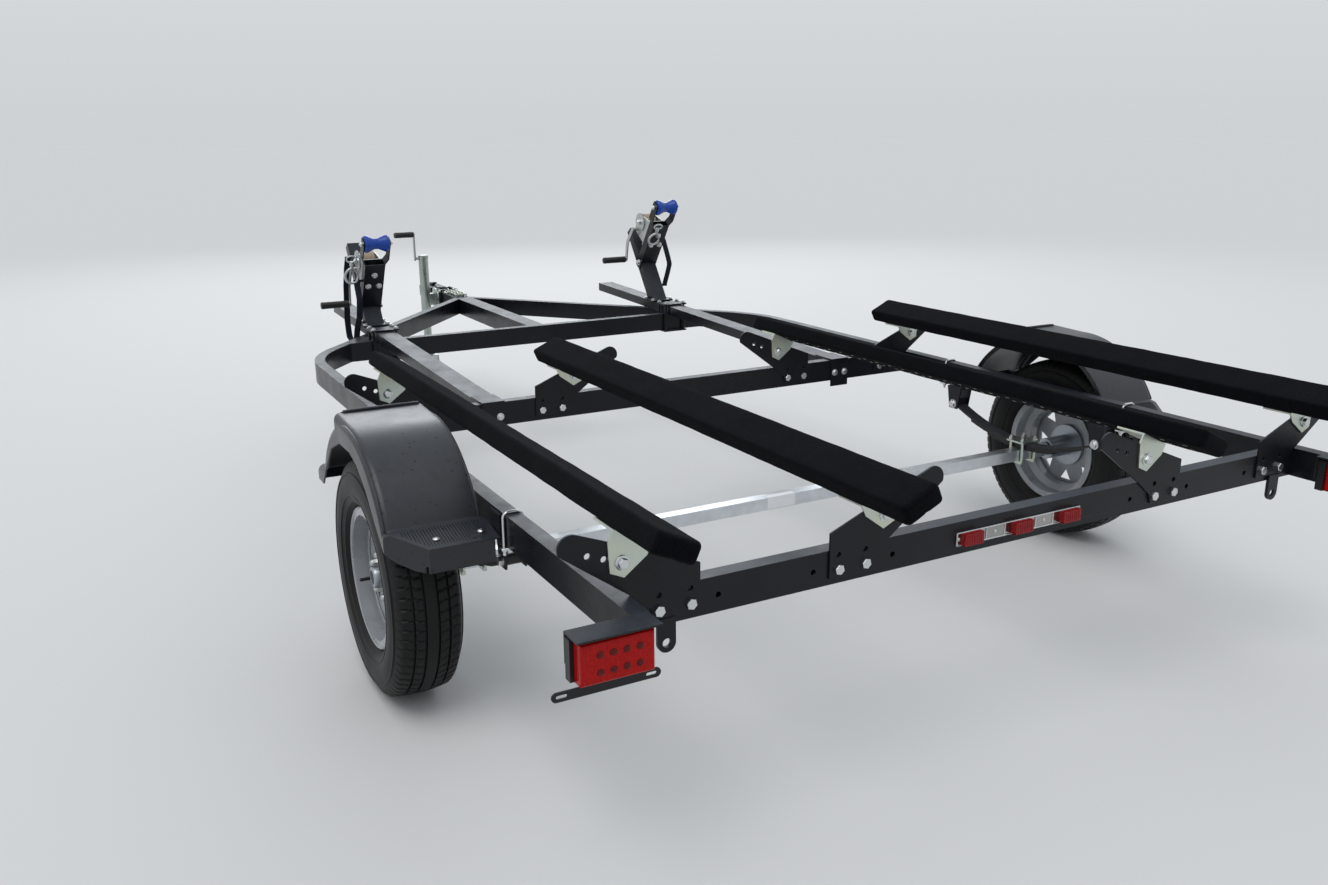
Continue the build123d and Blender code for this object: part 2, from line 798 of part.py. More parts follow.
save("tail_lights", flip(tail_light(lamp_in_x["left"])), tail_light(lamp_in_x["right"]))
save("tail_lenses", flip(tail_lens(lamp_in_x["left"])), tail_lens(lamp_in_x["right"]))

slot_span = 178.0
bar_w = 19.0
bar_x = -(lamp_in_x["left"] + 90.0)
bar_z = lamp_low_z - 22.0
bar_t = 3.0
bar_plane = Plane(origin=(bar_x, housing_y + bar_t, bar_z), x_dir=(1, 0, 0), z_dir=(0, -1, 0))
bar_face = SlotOverall(slot_span + 39, bar_w)
for s in (-1, 1):
    bar_face -= Pos(s * slot_span / 2, 0) * SlotOverall(22, 7)
plate_bar = extrude(bar_plane * bar_face, bar_t)
plate_bar += block((bar_x - 20, bar_x + 20), (housing_y, housing_y + bar_t), (bar_z + 4, lamp_low_z))
save("plate_bar", plate_bar)

id_half = 192.0
id_y = rear_y - 3.0
id_bar = block((-id_half, id_half), (id_y, rear_y), (frame_z + 20, frame_z + 52))
save("id_light_bar", id_bar)
id_pitch = 152.4
lenses = [
    block((x - 27.5, x + 27.5), (id_y - 16, id_y - fit_gap), (frame_z + 22, frame_z + 50))
    for x in (-id_pitch, 0, id_pitch)
]
save("id_lenses", *lenses)


tie_down_x = rail_outer_x - 114.0
tie_down_z = frame_z - 36.0
tie_down_r = 20.0


def tie_down():
    """Ring plate on the rear crossmember's face."""
    low = (tie_down_x, rear_y - 8, tie_down_z)
    high = (tie_down_x, rear_y, tie_down_z)
    stem = block(
        (tie_down_x - tie_down_r, tie_down_x + tie_down_r),
        (rear_y - 8, rear_y),
        (tie_down_z, frame_z + bracket_foot - fit_gap),
    )
    return rod(low, high, tie_down_r) + stem - rod(low, high, 9.5)


save("tie_down_eyes", tie_down(), flip(tie_down()))


# Winch stands
base_t = 8.0
base_half = 53.0
arm_inner_half = channel_w / 2 + 0.2
arm_outer_half = arm_inner_half + channel_t


def stand_frames(side):
    """Planes of the mast and of the arm: local x across, local y along the member."""
    data = stands[side]
    x = data["x"]
    knee = Vector(x, *data["knee"])
    upper = Vector(x, *data["roller"]) - knee
    foot = Vector(x, stand_foot_y, keel_top(stand_foot_y) + base_t)
    rise = Vector(0, sin(radians(mast_lean)), cos(radians(mast_lean)))
    mast_plane = Plane(origin=foot, x_dir=(1, 0, 0), z_dir=Vector(1, 0, 0).cross(rise))
    arm_plane = Plane(origin=knee, x_dir=(1, 0, 0), z_dir=Vector(1, 0, 0).cross(upper))
    return mast_plane, arm_plane, upper.length


def winch_post(side):
    """Clamped base, mast channel, arm channel with flared ears, knee bolt and roller pin."""
    mast_plane, arm_plane, arm_len = stand_frames(side)
    base_ends = (stand_foot_y - 60, stand_foot_y + 35)
    x = stands[side]["x"]
    low_side = [(y, keel_top(y) + fit_gap) for y in base_ends]
    high_side = [(y, keel_top(y) + base_t) for y in reversed(base_ends)]
    base = prism_x(low_side + high_side, x - base_half, x + base_half)
    far = 120.0
    foot_run = 30.0
    post = Pos(0, (mast_len - foot_run) / 2, 0) * Box(channel_w, mast_len + foot_run, channel_d)
    post -= Pos(0, mast_len / 2, -channel_t) * Box(channel_w - 2 * channel_t, mast_len + far, channel_d)
    below_ends = (stand_foot_y - far, stand_foot_y + far)
    below_high = [(y, keel_top(y) + base_t) for y in below_ends]
    below_low = [(y, keel_top(y) - far) for y in reversed(below_ends)]
    post = mast_plane * post - prism_x(below_high + below_low, x - channel_w, x + channel_w)
    knee_lap = 26.0
    web_start = 15.0
    ear_half = roller_len / 2 + 1.5
    flare0 = arm_len - 95.0
    flare1 = arm_len - 70.0
    inner_half = arm_inner_half
    web_z = (channel_d - channel_t) / 2
    arm = Pos(0, (flare0 + web_start) / 2, web_z) * Box(2 * arm_outer_half, flare0 - web_start, channel_t)
    arm += Rot(0, 90, 0) * Cylinder(6, 2 * arm_outer_half + 16)
    for s in (-1, 1):
        flange = outline(
            (s * inner_half, -knee_lap),
            (s * (inner_half + channel_t), -knee_lap),
            (s * (inner_half + channel_t), flare0),
            (s * (ear_half + channel_t), flare1),
            (s * (ear_half + channel_t), arm_len + 20),
            (s * ear_half, arm_len + 20),
            (s * ear_half, flare1),
            (s * inner_half, flare0),
        )
        arm += Pos(0, 0, -channel_d / 2) * extrude(flange, channel_d)
    pin_reach = ear_half + channel_t + 8
    arm += Pos(0, arm_len, 0) * Rot(0, 90, 0) * Cylinder(roller_pin_r, 2 * pin_reach)
    return base + post + arm_plane * arm


def bow_roller(side):
    """Waisted roller on its pin."""
    y, z = stands[side]["roller"]
    x = stands[side]["x"]
    half = roller_len / 2
    bore = roller_pin_r + fit_gap
    plane = Plane(origin=(x, y, z), x_dir=(1, 0, 0), z_dir=(0, -1, 0))
    face = outline(
        (-half, bore), (-half, roller_r - 4), (-half + 6, roller_r), (-half + 14, roller_r - 1),
        (-8, roller_waist_r), (8, roller_waist_r), (half - 14, roller_r - 1), (half - 6, roller_r),
        (half, roller_r - 4), (half, bore),
    )
    return revolve(plane * face, Axis((x, y, z), (1, 0, 0)), 360)


# Winches, placed along the arm and out from its axis
drum_at = (165.0, -100.0)
shaft_at = (116.0, -111.0)
crank_elbow = (22.0, -120.0)
crank_end = (-52.0, -85.0)
drum_r = 20.0
roll_r = 36.0
strap_w = 25.0
strap_t = 3.0
cheek_x = 32.0
cheek_t = 4.0
gear_t = 6.0
gear_r = 43.0
pinion_r = 10.0
tooth_h = 3.2
crank_x = -57.0
crank_t = 5.0
crank_w = 20.0
grip_len = 120.0
grip_r = 13.0


def across(points, x0, x1):
    """Outline in a stand's own (along, out) plane, carried across from x0 to x1."""
    return extrude(Plane.YZ.offset(x0) * outline(*points), x1 - x0)


def across_rod(at, radius, x0, x1):
    """Round bar across a stand from x0 to x1."""
    return extrude(Plane.YZ.offset(x0) * Pos(*at) * Circle(radius), x1 - x0)


def gear(at, radius, teeth, x0, x1):
    """Spur gear: each tooth has a root flat and a narrower tip."""
    points = []
    for i in range(teeth):
        for share, r in ((0.0, radius - tooth_h), (0.4, radius - tooth_h), (0.55, radius), (0.85, radius)):
            turn = radians(360 * (i + share) / teeth)
            points.append((at[0] + r * cos(turn), at[1] + r * sin(turn)))
    return across(points, x0, x1)


def bar_between(start, end, width, x0, x1):
    """Flat bar between two points of a stand's plane, with round ends."""
    run = (end[0] - start[0], end[1] - start[1])
    length = hypot(*run)
    middle = ((start[0] + end[0]) / 2, (start[1] + end[1]) / 2)
    face = Pos(*middle) * Rot(0, 0, degrees(atan2(run[1], run[0]))) * SlotCenterToCenter(length, width)
    return extrude(Plane.YZ.offset(x0) * face, x1 - x0)


def winch(side):
    """Winch on the arm's open side: base, cheeks, drum, gear pair, and the crank with its grip."""
    _, arm_plane, _ = stand_frames(side)
    foot_n = -channel_d / 2
    plate_n = foot_n - cheek_t
    plate = [(92, foot_n), (232, foot_n), (232, plate_n), (92, plate_n)]
    body = across(plate, -arm_outer_half, arm_outer_half)
    cheek = [
        (98, plate_n), (226, plate_n), (196, drum_at[1] - 16), (170, drum_at[1] - 26),
        (shaft_at[0] - 10, shaft_at[1] - 20), (shaft_at[0] - 18, shaft_at[1] + 10),
    ]
    for x0 in (-cheek_x - cheek_t, cheek_x):
        body += across(cheek, x0, x0 + cheek_t)
    body += across_rod(drum_at, drum_r, -cheek_x, cheek_x)
    gear_x = -cheek_x - cheek_t
    body += gear(drum_at, gear_r, 40, gear_x - gear_t, gear_x)
    body += gear(shaft_at, pinion_r, 9, gear_x - gear_t, gear_x)
    body += across_rod(shaft_at, 7, crank_x - crank_t, cheek_x + cheek_t + 6)
    body += bar_between(shaft_at, crank_elbow, crank_w, crank_x - crank_t, crank_x)
    body += bar_between(crank_elbow, crank_end, crank_w, crank_x - crank_t, crank_x)
    body += across_rod(crank_end, grip_r, crank_x - crank_t - grip_len, crank_x - crank_t)
    return arm_plane * body


# Slack of each strap beside its stand: points (y, z) from the winch to the pin it is hooked on
strap_runs = {
    "left": [
        (3098, 402), (3135, 350), (3172, 272), (3205, 115), (3190, 45), (3120, 32),
        (3062, 55), (3030, 110), (2975, 165), (2952, 240), (2985, 312),
    ],
    "right": [(3150, 462), (3108, 438), (3068, 394), (3030, 330), (3008, 287), (3030, 240), (3062, 180)],
}
strap_pin_x = {"left": arm_outer_half, "right": channel_w / 2}


def winch_strap(side):
    """Roll on the drum, and the slack webbing beside the stand on its pin."""
    _, arm_plane, _ = stand_frames(side)
    roll = across_rod(drum_at, roll_r, -cheek_x + 5, cheek_x - 5)
    roll -= across_rod(drum_at, drum_r + fit_gap, -cheek_x, cheek_x)
    way = -1 if side == "left" else 1
    run = [(rear_y + y, frame_z + z) for y, z in strap_runs[side]]
    path = FilletPolyline(*run, radius=24)
    inner_x = stands[side]["x"] + way * (base_half + fit_gap)
    outer_x = inner_x + way * strap_w
    plane = Plane(origin=(min(inner_x, outer_x), 0, 0), x_dir=(0, 1, 0), z_dir=(1, 0, 0))
    slack = extrude(plane * trace(path, strap_t), strap_w)
    slack += rod((stands[side]["x"] + way * strap_pin_x[side], *run[-1]), (outer_x, *run[-1]), 5)
    return arm_plane * roll, slack


for side in stands:
    save(f"winch_post_{side}", winch_post(side))
    save(f"bow_roller_{side}", bow_roller(side))
    save(f"winch_{side}", winch(side))
    save(f"winch_strap_{side}", *winch_strap(side))


# Jack: swivel mount on the tongue, crank tube, sliding leg, caster fork and wheel
mount_in_x = -tongue_w / 2


def jack_mount():
    """Clamp plates on the tongue with the round swivel plate and its stub."""
    plate_y = (jack_y - 60, jack_y + 60)
    plate_z = (frame_z - 14, frame_top_z + 14)
    side_plate = block((mount_in_x - 6, mount_in_x), plate_y, plate_z)
    far_plate = block((tongue_w / 2, tongue_w / 2 + 6), plate_y, plate_z)
    disc = rod((mount_in_x - 6, jack_y, jack_pivot_z), (mount_in_x - 14, jack_y, jack_pivot_z), 55)
    stub = rod((mount_in_x - 14, jack_y, jack_pivot_z), (mount_in_x - 34, jack_y, jack_pivot_z), 14)
    solids = side_plate + disc + stub + far_plate
    for y in (jack_y - 48, jack_y + 48):
        for z in (frame_z - 7, frame_top_z + 7):
            solids += rod((mount_in_x, y, z), (tongue_w / 2, y, z), 5)
    return solids


def jack_tube():
    """Outer tube with its swivel plate, cap, crank shaft, arm and grip."""
    foot = jack_pivot_z - 110
    tube = rod((jack_x, jack_y, foot), (jack_x, jack_y, jack_top_z), jack_outer_r)
    tube -= rod((jack_x, jack_y, foot - 1), (jack_x, jack_y, jack_top_z - 20), jack_outer_r - jack_wall)
    plate_x = mount_in_x - 14 - fit_gap
    plate = rod((plate_x, jack_y, jack_pivot_z), (plate_x - 6, jack_y, jack_pivot_z), 55)
    collar = block((jack_x, plate_x - 6), (jack_y - 20, jack_y + 20), (jack_pivot_z - 30, jack_pivot_z + 30))
    collar -= rod((jack_x, jack_y, foot), (jack_x, jack_y, jack_top_z), jack_outer_r - 1)
    bore = rod((mount_in_x, jack_y, jack_pivot_z), (mount_in_x - 36, jack_y, jack_pivot_z), 14 + fit_gap)
    arm_x = (jack_x - 47, jack_x - 41)
    shaft = rod((jack_x - jack_outer_r + 1, jack_y, jack_crank_z), (arm_x[0], jack_y, jack_crank_z), 8)
    arm = block(arm_x, (jack_y - 10, jack_y + 10), (jack_crank_z - 12, jack_crank_z + jack_crank_len + 10))
    grip_z = jack_crank_z + jack_crank_len
    grip = rod((arm_x[1], jack_y, grip_z), (arm_x[1] - 105, jack_y, grip_z), grip_r)
    return tube + (plate + collar - bore) + shaft + arm + grip


fork_top_z = 2 * caster_r + 22.0


def jack_leg():
    """Inner leg with the flange that the caster turns under."""
    leg = rod((jack_x, jack_y, fork_top_z + 10), (jack_x, jack_y, jack_top_z - 190), jack_inner_r)
    leg += rod((jack_x, jack_y, fork_top_z + 4), (jack_x, jack_y, fork_top_z + 10), 30)
    leg += rod((jack_x, jack_y, fork_top_z - 14), (jack_x, jack_y, fork_top_z + 4), 8)
    return leg


def caster_fork():
    """Pressed fork that trails behind the leg."""
    half = caster_w / 2 + 6.0
    crown = rod((jack_x, jack_y, fork_top_z), (jack_x, jack_y, fork_top_z + 4 - fit_gap), 28)
    crown += block(
        (jack_x - half - 4, jack_x + half + 4),
        (jack_y - caster_trail - 5, jack_y + 24),
        (fork_top_z - 5, fork_top_z),
    )
    crown -= rod((jack_x, jack_y, fork_top_z - 20), (jack_x, jack_y, fork_top_z + 20), 8 + fit_gap)
    axle_at = (jack_y - caster_trail, caster_r)
    for s in (-1, 1):
        x0 = jack_x + s * half
        cheek = prism_x(
            [
                (jack_y + 24, fork_top_z),
                (jack_y - caster_trail - 5, fork_top_z),
                (axle_at[0] - 18, axle_at[1] - 14),
                (axle_at[0] + 18, axle_at[1] - 14),
            ],
            min(x0, x0 + s * 4),
            max(x0, x0 + s * 4),
        )
        crown += cheek
    crown += rod((jack_x - half - 10, *axle_at), (jack_x + half + 10, *axle_at), 8)
    return crown


def caster_wheel():
    """Solid wheel with a bored boss."""
    y = jack_y - caster_trail
    plane = Plane(origin=(jack_x, y, caster_r), x_dir=(1, 0, 0), z_dir=(0, -1, 0))
    w = caster_w / 2
    face = outline(
        (-w - 3, 8.3), (-w - 3, 20), (-w + 8, 26), (-w + 8, 62), (-w, 70), (-w, caster_r - 8),
        (-w + 8, caster_r), (w - 8, caster_r), (w, caster_r - 8), (w, 70), (w - 8, 62), (w - 8, 26),
        (w + 3, 20), (w + 3, 8.3),
    )
    return revolve(plane * face, Axis((jack_x, y, caster_r), (1, 0, 0)), 360)


save("jack_mount", jack_mount())
save("jack_tube", jack_tube())
save("jack_leg", jack_leg())
save("caster_fork", caster_fork())
save("caster_wheel", caster_wheel())


# Safety chains, laid along the tongue from a bent bar on it
link_wire = 5.0
link_pitch = 26.0
link_w = 22.0
link_count = 7
chain_y = jack_y - 260.0
chain_x = 14.0
chain_z = frame_top_z + fit_gap + link_w / 2


def chain_anchor():
    """Bent bar on the tongue that both chains are held by."""
    half = link_wire / 2
    reach = chain_x + link_w / 2 + 6
    anchor = block((-reach, reach), (chain_y - half, chain_y + half), (chain_z - half, chain_z + half))
    for x in (-reach, reach - link_wire):
        anchor += block((x, x + link_wire), (chain_y - half, chain_y + half), (frame_top_z, chain_z + half))
    return anchor


def chain(x):
    """Links in line, each turned a quarter from the next."""
    inner = link_pitch + fit_gap
    ring = SlotOverall(inner + 2 * link_wire, link_w) - SlotOverall(inner, link_w - 2 * link_wire)
    links = []
    start = chain_y - link_wire / 2 - fit_gap
    for i in range(link_count):
        y = start + inner / 2 + i * link_pitch
        normal = (1, 0, 0) if i % 2 == 0 else (0, 0, 1)
        plane = Plane(origin=(x, y, chain_z), x_dir=(0, 1, 0), z_dir=normal)
        links.append(extrude(plane * ring, link_wire / 2, both=True))
    return links


save("safety_chains", chain_anchor(), *chain(-chain_x), *chain(chain_x))
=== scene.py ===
"""Looks of a two-place watercraft trailer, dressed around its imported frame.

Every length is in metres. X is across the trailer, +Y points to the coupler and +Z is up.
Each sub-assembly is a class that builds its own pieces and gives its parts their finish.
"""

import json
import logging
import math
from dataclasses import dataclass, field
from enum import Enum
from typing import Sequence

import bmesh
import bpy
from mathutils import Matrix, Vector, noise


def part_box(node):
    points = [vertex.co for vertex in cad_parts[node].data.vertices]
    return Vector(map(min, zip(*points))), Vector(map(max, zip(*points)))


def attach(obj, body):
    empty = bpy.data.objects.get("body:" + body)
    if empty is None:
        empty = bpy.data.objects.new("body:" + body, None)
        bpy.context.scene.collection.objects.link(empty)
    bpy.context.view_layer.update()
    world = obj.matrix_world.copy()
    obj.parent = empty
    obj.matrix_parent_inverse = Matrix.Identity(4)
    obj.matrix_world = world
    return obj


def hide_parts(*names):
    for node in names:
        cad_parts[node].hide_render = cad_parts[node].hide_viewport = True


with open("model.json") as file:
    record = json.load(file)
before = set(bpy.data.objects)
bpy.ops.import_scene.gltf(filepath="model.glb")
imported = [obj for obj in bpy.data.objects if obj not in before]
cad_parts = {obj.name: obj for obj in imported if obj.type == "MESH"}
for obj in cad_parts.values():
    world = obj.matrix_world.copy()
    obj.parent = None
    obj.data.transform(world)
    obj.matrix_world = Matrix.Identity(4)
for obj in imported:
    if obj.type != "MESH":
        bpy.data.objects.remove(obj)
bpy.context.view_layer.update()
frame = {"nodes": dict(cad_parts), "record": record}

logging.basicConfig(level=logging.INFO, format="%(levelname)s %(message)s")
log = logging.getLogger("trailer")

Point = Sequence[float]
Color = tuple[float, float, float]
Pair = tuple[float, float]
Pairs = tuple[Pair, ...]
FULL_TURN = 2 * math.pi
QUARTER_TURN = math.pi / 2


class Side(Enum):
    """The trailer's two sides, seen from behind."""

    LEFT = -1
    RIGHT = 1

    @property
    def word(self) -> str:
        """The side's word in node names."""
        return self.name.lower()


def shown(name: str, data: bpy.types.ID) -> bpy.types.Object:
    """Make an object and put it in the scene.

    Args:
        name: The object's name.
        data: Its mesh, lamp or camera.

    Returns:
        The new object.
    """
    made = bpy.data.objects.new(name, data)
    bpy.context.scene.collection.objects.link(made)
    return made


class ShaderTree:
    """One material's node tree, or a node group's, with short ways to add and join nodes."""

    def __init__(self, tree: bpy.types.NodeTree) -> None:
        """Start from an empty tree.

        Args:
            tree: The node tree to fill.
        """
        self.tree = tree
        tree.nodes.clear()

    def add(self, kind: str, **inputs: object) -> bpy.types.Node:
        """Add a node and set its sockets.

        Args:
            kind: Blender's node type without the ShaderNode prefix.
            inputs: Socket values or output sockets, named with _ for a space.

        Returns:
            The new node.
        """
        node = self.tree.nodes.new("ShaderNode" + kind)
        for name, value in inputs.items():
            self.put(node.inputs[name.replace("_", " ")], value)
        return node

    def put(self, socket: bpy.types.NodeSocket, value: object) -> None:
        """Link an output socket to a socket, or set its plain value.

        Args:
            socket: The input to feed.
            value: An output socket or a value.
        """
        if isinstance(value, bpy.types.NodeSocket):
            self.tree.links.new(value, socket)
        elif isinstance(value, tuple) and len(value) == 3 and socket.type == "RGBA":
            socket.default_value = (*value, 1.0)
        else:
            socket.default_value = value

    def math(self, operation: str, *values: object) -> bpy.types.NodeSocket:
        """A Math node's result.

        Args:
            operation: Blender's name of the operation.
            values: One to three numbers or output sockets.

        Returns:
            The value socket.
        """
        node = self.add("Math")
        node.operation = operation
        for socket, value in zip(node.inputs, values):
            self.put(socket, value)
        return node.outputs[0]

    def mix(self, share: object, first: object, second: object) -> bpy.types.NodeSocket:
        """A colour between two colours.

        Args:
            share: How much of the second colour shows.
            first: Colour or socket at share 0.
            second: Colour or socket at share 1.

        Returns:
            The colour socket.
        """
        node = self.add("Mix")
        node.data_type = "RGBA"
        for name, value in (("Factor", share), ("A", first), ("B", second)):
            self.put(node.inputs[name], value)
        return next(o for o in node.outputs if o.type == "RGBA")

    def ramp(self, value: object, low: float, high: float) -> bpy.types.NodeSocket:
        """A value spread so that low becomes 0 and high becomes 1."""
        return self.add("MapRange", Value=value, From_Min=low, From_Max=high).outputs["Result"]

    def where(self) -> bpy.types.NodeSocket:
        """The place on the object, in metres."""
        return self.add("TexCoord").outputs["Object"]

    def bump(
        self, shader: bpy.types.Node, strength: float, height: object, depth: float = 0.001, **more: object
    ) -> None:
        """Feed a shader's normal from a height, over another normal where one is given."""
        node = self.add("Bump", Strength=strength, Distance=depth, Height=height, **more)
        self.put(shader.inputs["Normal"], node.outputs["Normal"])

    def effect(self, kind: type["Effect"], **values: float) -> bpy.types.NodeOutputs:
        """Place a shared effect.

        Args:
            kind: The effect's class.
            values: Its inputs here, where they aren't its own defaults.

        Returns:
            The effect's outputs.
        """
        node = self.add("Group")
        node.node_tree = kind.group()
        for name, value in values.items():
            node.inputs[name].default_value = value
        return node.outputs


class Effect(ShaderTree):
    """A node group that several materials share. Each kind names its sockets and fills its tree."""

    name = ""
    inputs: dict[str, float] = {}
    outputs: tuple[str, ...] = ("Mask",)
    made: dict[str, bpy.types.NodeTree] = {}

    def __init__(self) -> None:
        """Make the group's sockets, then its nodes."""
        tree = bpy.data.node_groups.new(self.name, "ShaderNodeTree")
        super().__init__(tree)
        for title, value in self.inputs.items():
            socket = tree.interface.new_socket(title, in_out="INPUT", socket_type="NodeSocketFloat")
            socket.default_value = value
        for title in self.outputs:
            kind = "NodeSocketVector" if title == "Normal" else "NodeSocketFloat"
            tree.interface.new_socket(title, in_out="OUTPUT", socket_type=kind)
        self.given = tree.nodes.new("NodeGroupInput").outputs
        self.result = tree.nodes.new("NodeGroupOutput").inputs
        self.fill()

    @classmethod
    def group(cls) -> bpy.types.NodeTree:
        """The effect's node group, made on first use.

        Returns:
            The node group.
        """
        if cls.name not in cls.made:
            cls.made[cls.name] = cls().tree
        return cls.made[cls.name]

    def fill(self) -> None:
        """Add the nodes between the group's inputs and outputs."""
        raise NotImplementedError


class EdgeWear(Effect):
    """Softened normals at the edges, and a broken mask where an edge is rubbed."""

    name = "edge_wear"
    inputs = {"Radius": 0.0015, "Scale": 60.0, "Amount": 0.5}
    outputs = ("Mask", "Normal")

    def fill(self) -> None:
        """Compare the bevelled normal with the true one."""
        bevel = self.add("Bevel", Radius=self.given["Radius"])
        bevel.samples = 4
        dot = self.add("VectorMath")
        dot.operation = "DOT_PRODUCT"
        self.put(dot.inputs[0], bevel.outputs["Normal"])
        self.put(dot.inputs[1], self.add("NewGeometry").outputs["Normal"])
        turn = self.ramp(dot.outputs["Value"], 0.995, 0.80)
        patches = self.add("TexNoise", Vector=self.where(), Scale=self.given["Scale"], Detail=4.0)
        rubbed = self.math("MULTIPLY", turn, self.ramp(patches.outputs["Fac"], 0.46, 0.66))
        self.put(self.result["Mask"], self.math("MULTIPLY", rubbed, self.given["Amount"]))
        self.put(self.result["Normal"], bevel.outputs["Normal"])


class Grain(Effect):
    """Fine height and slow mottling, for paint, plating and moulded plastic."""

    name = "grain"
    inputs = {"Fine": 900.0, "Coarse": 9.0}
    outputs = ("Height", "Mottle")

    def fill(self) -> None:
        """A fine noise and a coarse one."""
        where = self.where()
        fine = self.add("TexNoise", Vector=where, Scale=self.given["Fine"], Detail=3.0)
        coarse = self.add("TexNoise", Vector=where, Scale=self.given["Coarse"], Detail=5.0)
        self.put(self.result["Height"], fine.outputs["Fac"])
        self.put(self.result["Mottle"], self.ramp(coarse.outputs["Fac"], 0.3, 0.7))


class Dust(Effect):
    """A mask on faces that look up, broken by noise: real fine dust on finishes with a dust colour, painted sheen
    of sky light on dark finishes with the pale blue-grey sheen colour.
    """

    name = "dust"
    inputs = {"Amount": 0.2}

    def fill(self) -> None:
        """The face's upward share, broken by noise."""
        normal = self.add("SeparateXYZ", Vector=self.add("NewGeometry").outputs["Normal"])
        patches = self.add("TexNoise", Vector=self.where(), Scale=34.0, Detail=8.0, Roughness=0.7)
        upward = self.ramp(normal.outputs["Z"], 0.2, 0.95)
        mask = self.math("MULTIPLY", upward, self.ramp(patches.outputs["Fac"], 0.05, 0.85))
        self.put(self.result["Mask"], self.math("MULTIPLY", mask, self.given["Amount"]))


class Weave(Effect):
    """Height of crossed yarns, for straps that run up and down or along the trailer."""

    name = "weave"
    inputs = {"Pitch": 90.0}
    outputs = ("Height",)

    def fill(self) -> None:
        """Two rows of waves that cross each other."""
        rows = []
        for direction in ("X", "Z"):
            wave = self.add("TexWave", Vector=self.where(), Scale=self.given["Pitch"], Distortion=0.4, Detail=1.0)
            wave.bands_direction = direction
            rows.append(wave.outputs["Fac"])
        self.put(self.result["Height"], self.math("MULTIPLY", *rows))


class Drops(Effect):
    """A mask of sparse small drops of different sizes."""

    name = "drops"
    inputs = {"Scale": 54.0}

    def fill(self) -> None:
        """The middles of a few cells, chosen by each cell's own number."""
        cells = self.add("TexVoronoi", Vector=self.where(), Scale=self.given["Scale"])
        chance = self.add("SeparateColor", Color=cells.outputs["Color"])
        size = self.math("MULTIPLY_ADD", chance.outputs["Green"], 0.10, 0.13)
        inside = self.math("LESS_THAN", cells.outputs["Distance"], size)
        chosen = self.math("GREATER_THAN", chance.outputs["Red"], 0.50)
        self.put(self.result["Mask"], self.math("MULTIPLY", inside, chosen))


class Pile(Effect):
    """Height and shade of a short needled carpet."""

    name = "pile"
    inputs = {"Scale": 420.0}
    outputs = ("Height", "Shade")

    def fill(self) -> None:
        """Tufts from cells, with matted and raised areas."""
        where = self.where()
        bent = self.add("TexNoise", Vector=where, Scale=220.0, Detail=2.0)
        cells = self.add("TexVoronoi", Vector=where, Scale=self.given["Scale"]).outputs["Distance"]
        matted = self.add("TexNoise", Vector=where, Scale=11.0, Detail=6.0, Roughness=0.62)
        self.put(self.result["Height"], self.math("MULTIPLY_ADD", bent.outputs["Fac"], 0.6, cells))
        shade = self.math("MULTIPLY_ADD", cells, 0.7, matted.outputs["Fac"])
        self.put(self.result["Shade"], self.ramp(shade, 0.35, 1.1))


class Metal(Enum):
    """Whether a finish is bare metal or a coat."""

    BARE = 1.0
    COATED = 0.0


@dataclass(frozen=True)
class Finish:
    """A plain coat or plating: colour with mottling, fine grain, soft edges, wear, and a layer on faces that look
    up that is real dust on some finishes and painted sheen on others.

    Its slot is the record's name for it, where that isn't its own name.
    """

    name: str
    color: Color
    second: Color
    roughness: float
    metal: Metal = Metal.COATED
    worn: Color = (0.32, 0.32, 0.31)
    wear: float = 0.25
    edge: float = 0.0015
    fine: float = 900.0
    coarse: float = 9.0
    bump: float = 0.04
    dust: float = 0.12
    coat: float = 0.0
    sheen: float = 0.0
    specular: float = 0.5
    # Colour of the up-facing layer: real dust by default, painted sheen where a finish takes the pale blue-grey
    # sheen colour.
    dust_and_sheen_color: Color = (0.33, 0.31, 0.28)
    slot: str = ""
    made: dict[str, bpy.types.Material] = field(default_factory=dict, repr=False, compare=False)

    def material(self) -> bpy.types.Material:
        """The finish's material, made on first use.

        Returns:
            The material.
        """
        if self.name not in self.made:
            made = bpy.data.materials.new(self.name)
            made.use_nodes = True
            made.diffuse_color = (*self.color, 1.0)
            tree = ShaderTree(made.node_tree)
            shader = tree.add(
                "BsdfPrincipled", Roughness=self.roughness, Metallic=self.metal.value, Coat_Weight=self.coat,
                Coat_Roughness=0.12, Sheen_Weight=self.sheen, Sheen_Roughness=0.4, Specular_IOR_Level=self.specular,
            )
            tree.add("OutputMaterial", Surface=shader.outputs["BSDF"])
            self.dress(tree, shader)
            self.made[self.name] = made
        return self.made[self.name]

    def dress(self, tree: ShaderTree, shader: bpy.types.Node) -> None:
        """Mottled colour under wear and under the up-facing layer of dust and painted sheen, with grain on softened
        edges.

        Args:
            tree: The material's tree.
            shader: Its Principled shader.
        """
        wear = tree.effect(EdgeWear, Radius=self.edge, Amount=self.wear)
        grain = tree.effect(Grain, Fine=self.fine, Coarse=self.coarse)
        dust = tree.effect(Dust, Amount=self.dust)["Mask"]
        body = tree.mix(grain["Mottle"], self.color, self.second)
        rubbed = tree.mix(wear["Mask"], body, self.worn)
        # The up-facing layer: painted sheen on finishes with the pale blue-grey sheen colour, real dust on the
        # others.
        tree.put(shader.inputs["Base Color"], self.over(tree, tree.mix(dust, rubbed, self.dust_and_sheen_color)))
        rough = tree.math("MULTIPLY_ADD", grain["Mottle"], 0.1, self.roughness - 0.05)
        tree.put(shader.inputs["Roughness"], tree.math("MULTIPLY_ADD", dust, 0.4, rough))
        tree.bump(shader, self.bump, grain["Height"], Normal=wear["Normal"])

    def over(self, tree: ShaderTree, coat: bpy.types.NodeSocket) -> bpy.types.NodeSocket:
        """The colour that shows over the coat: on most finishes, the coat's own."""
        return coat


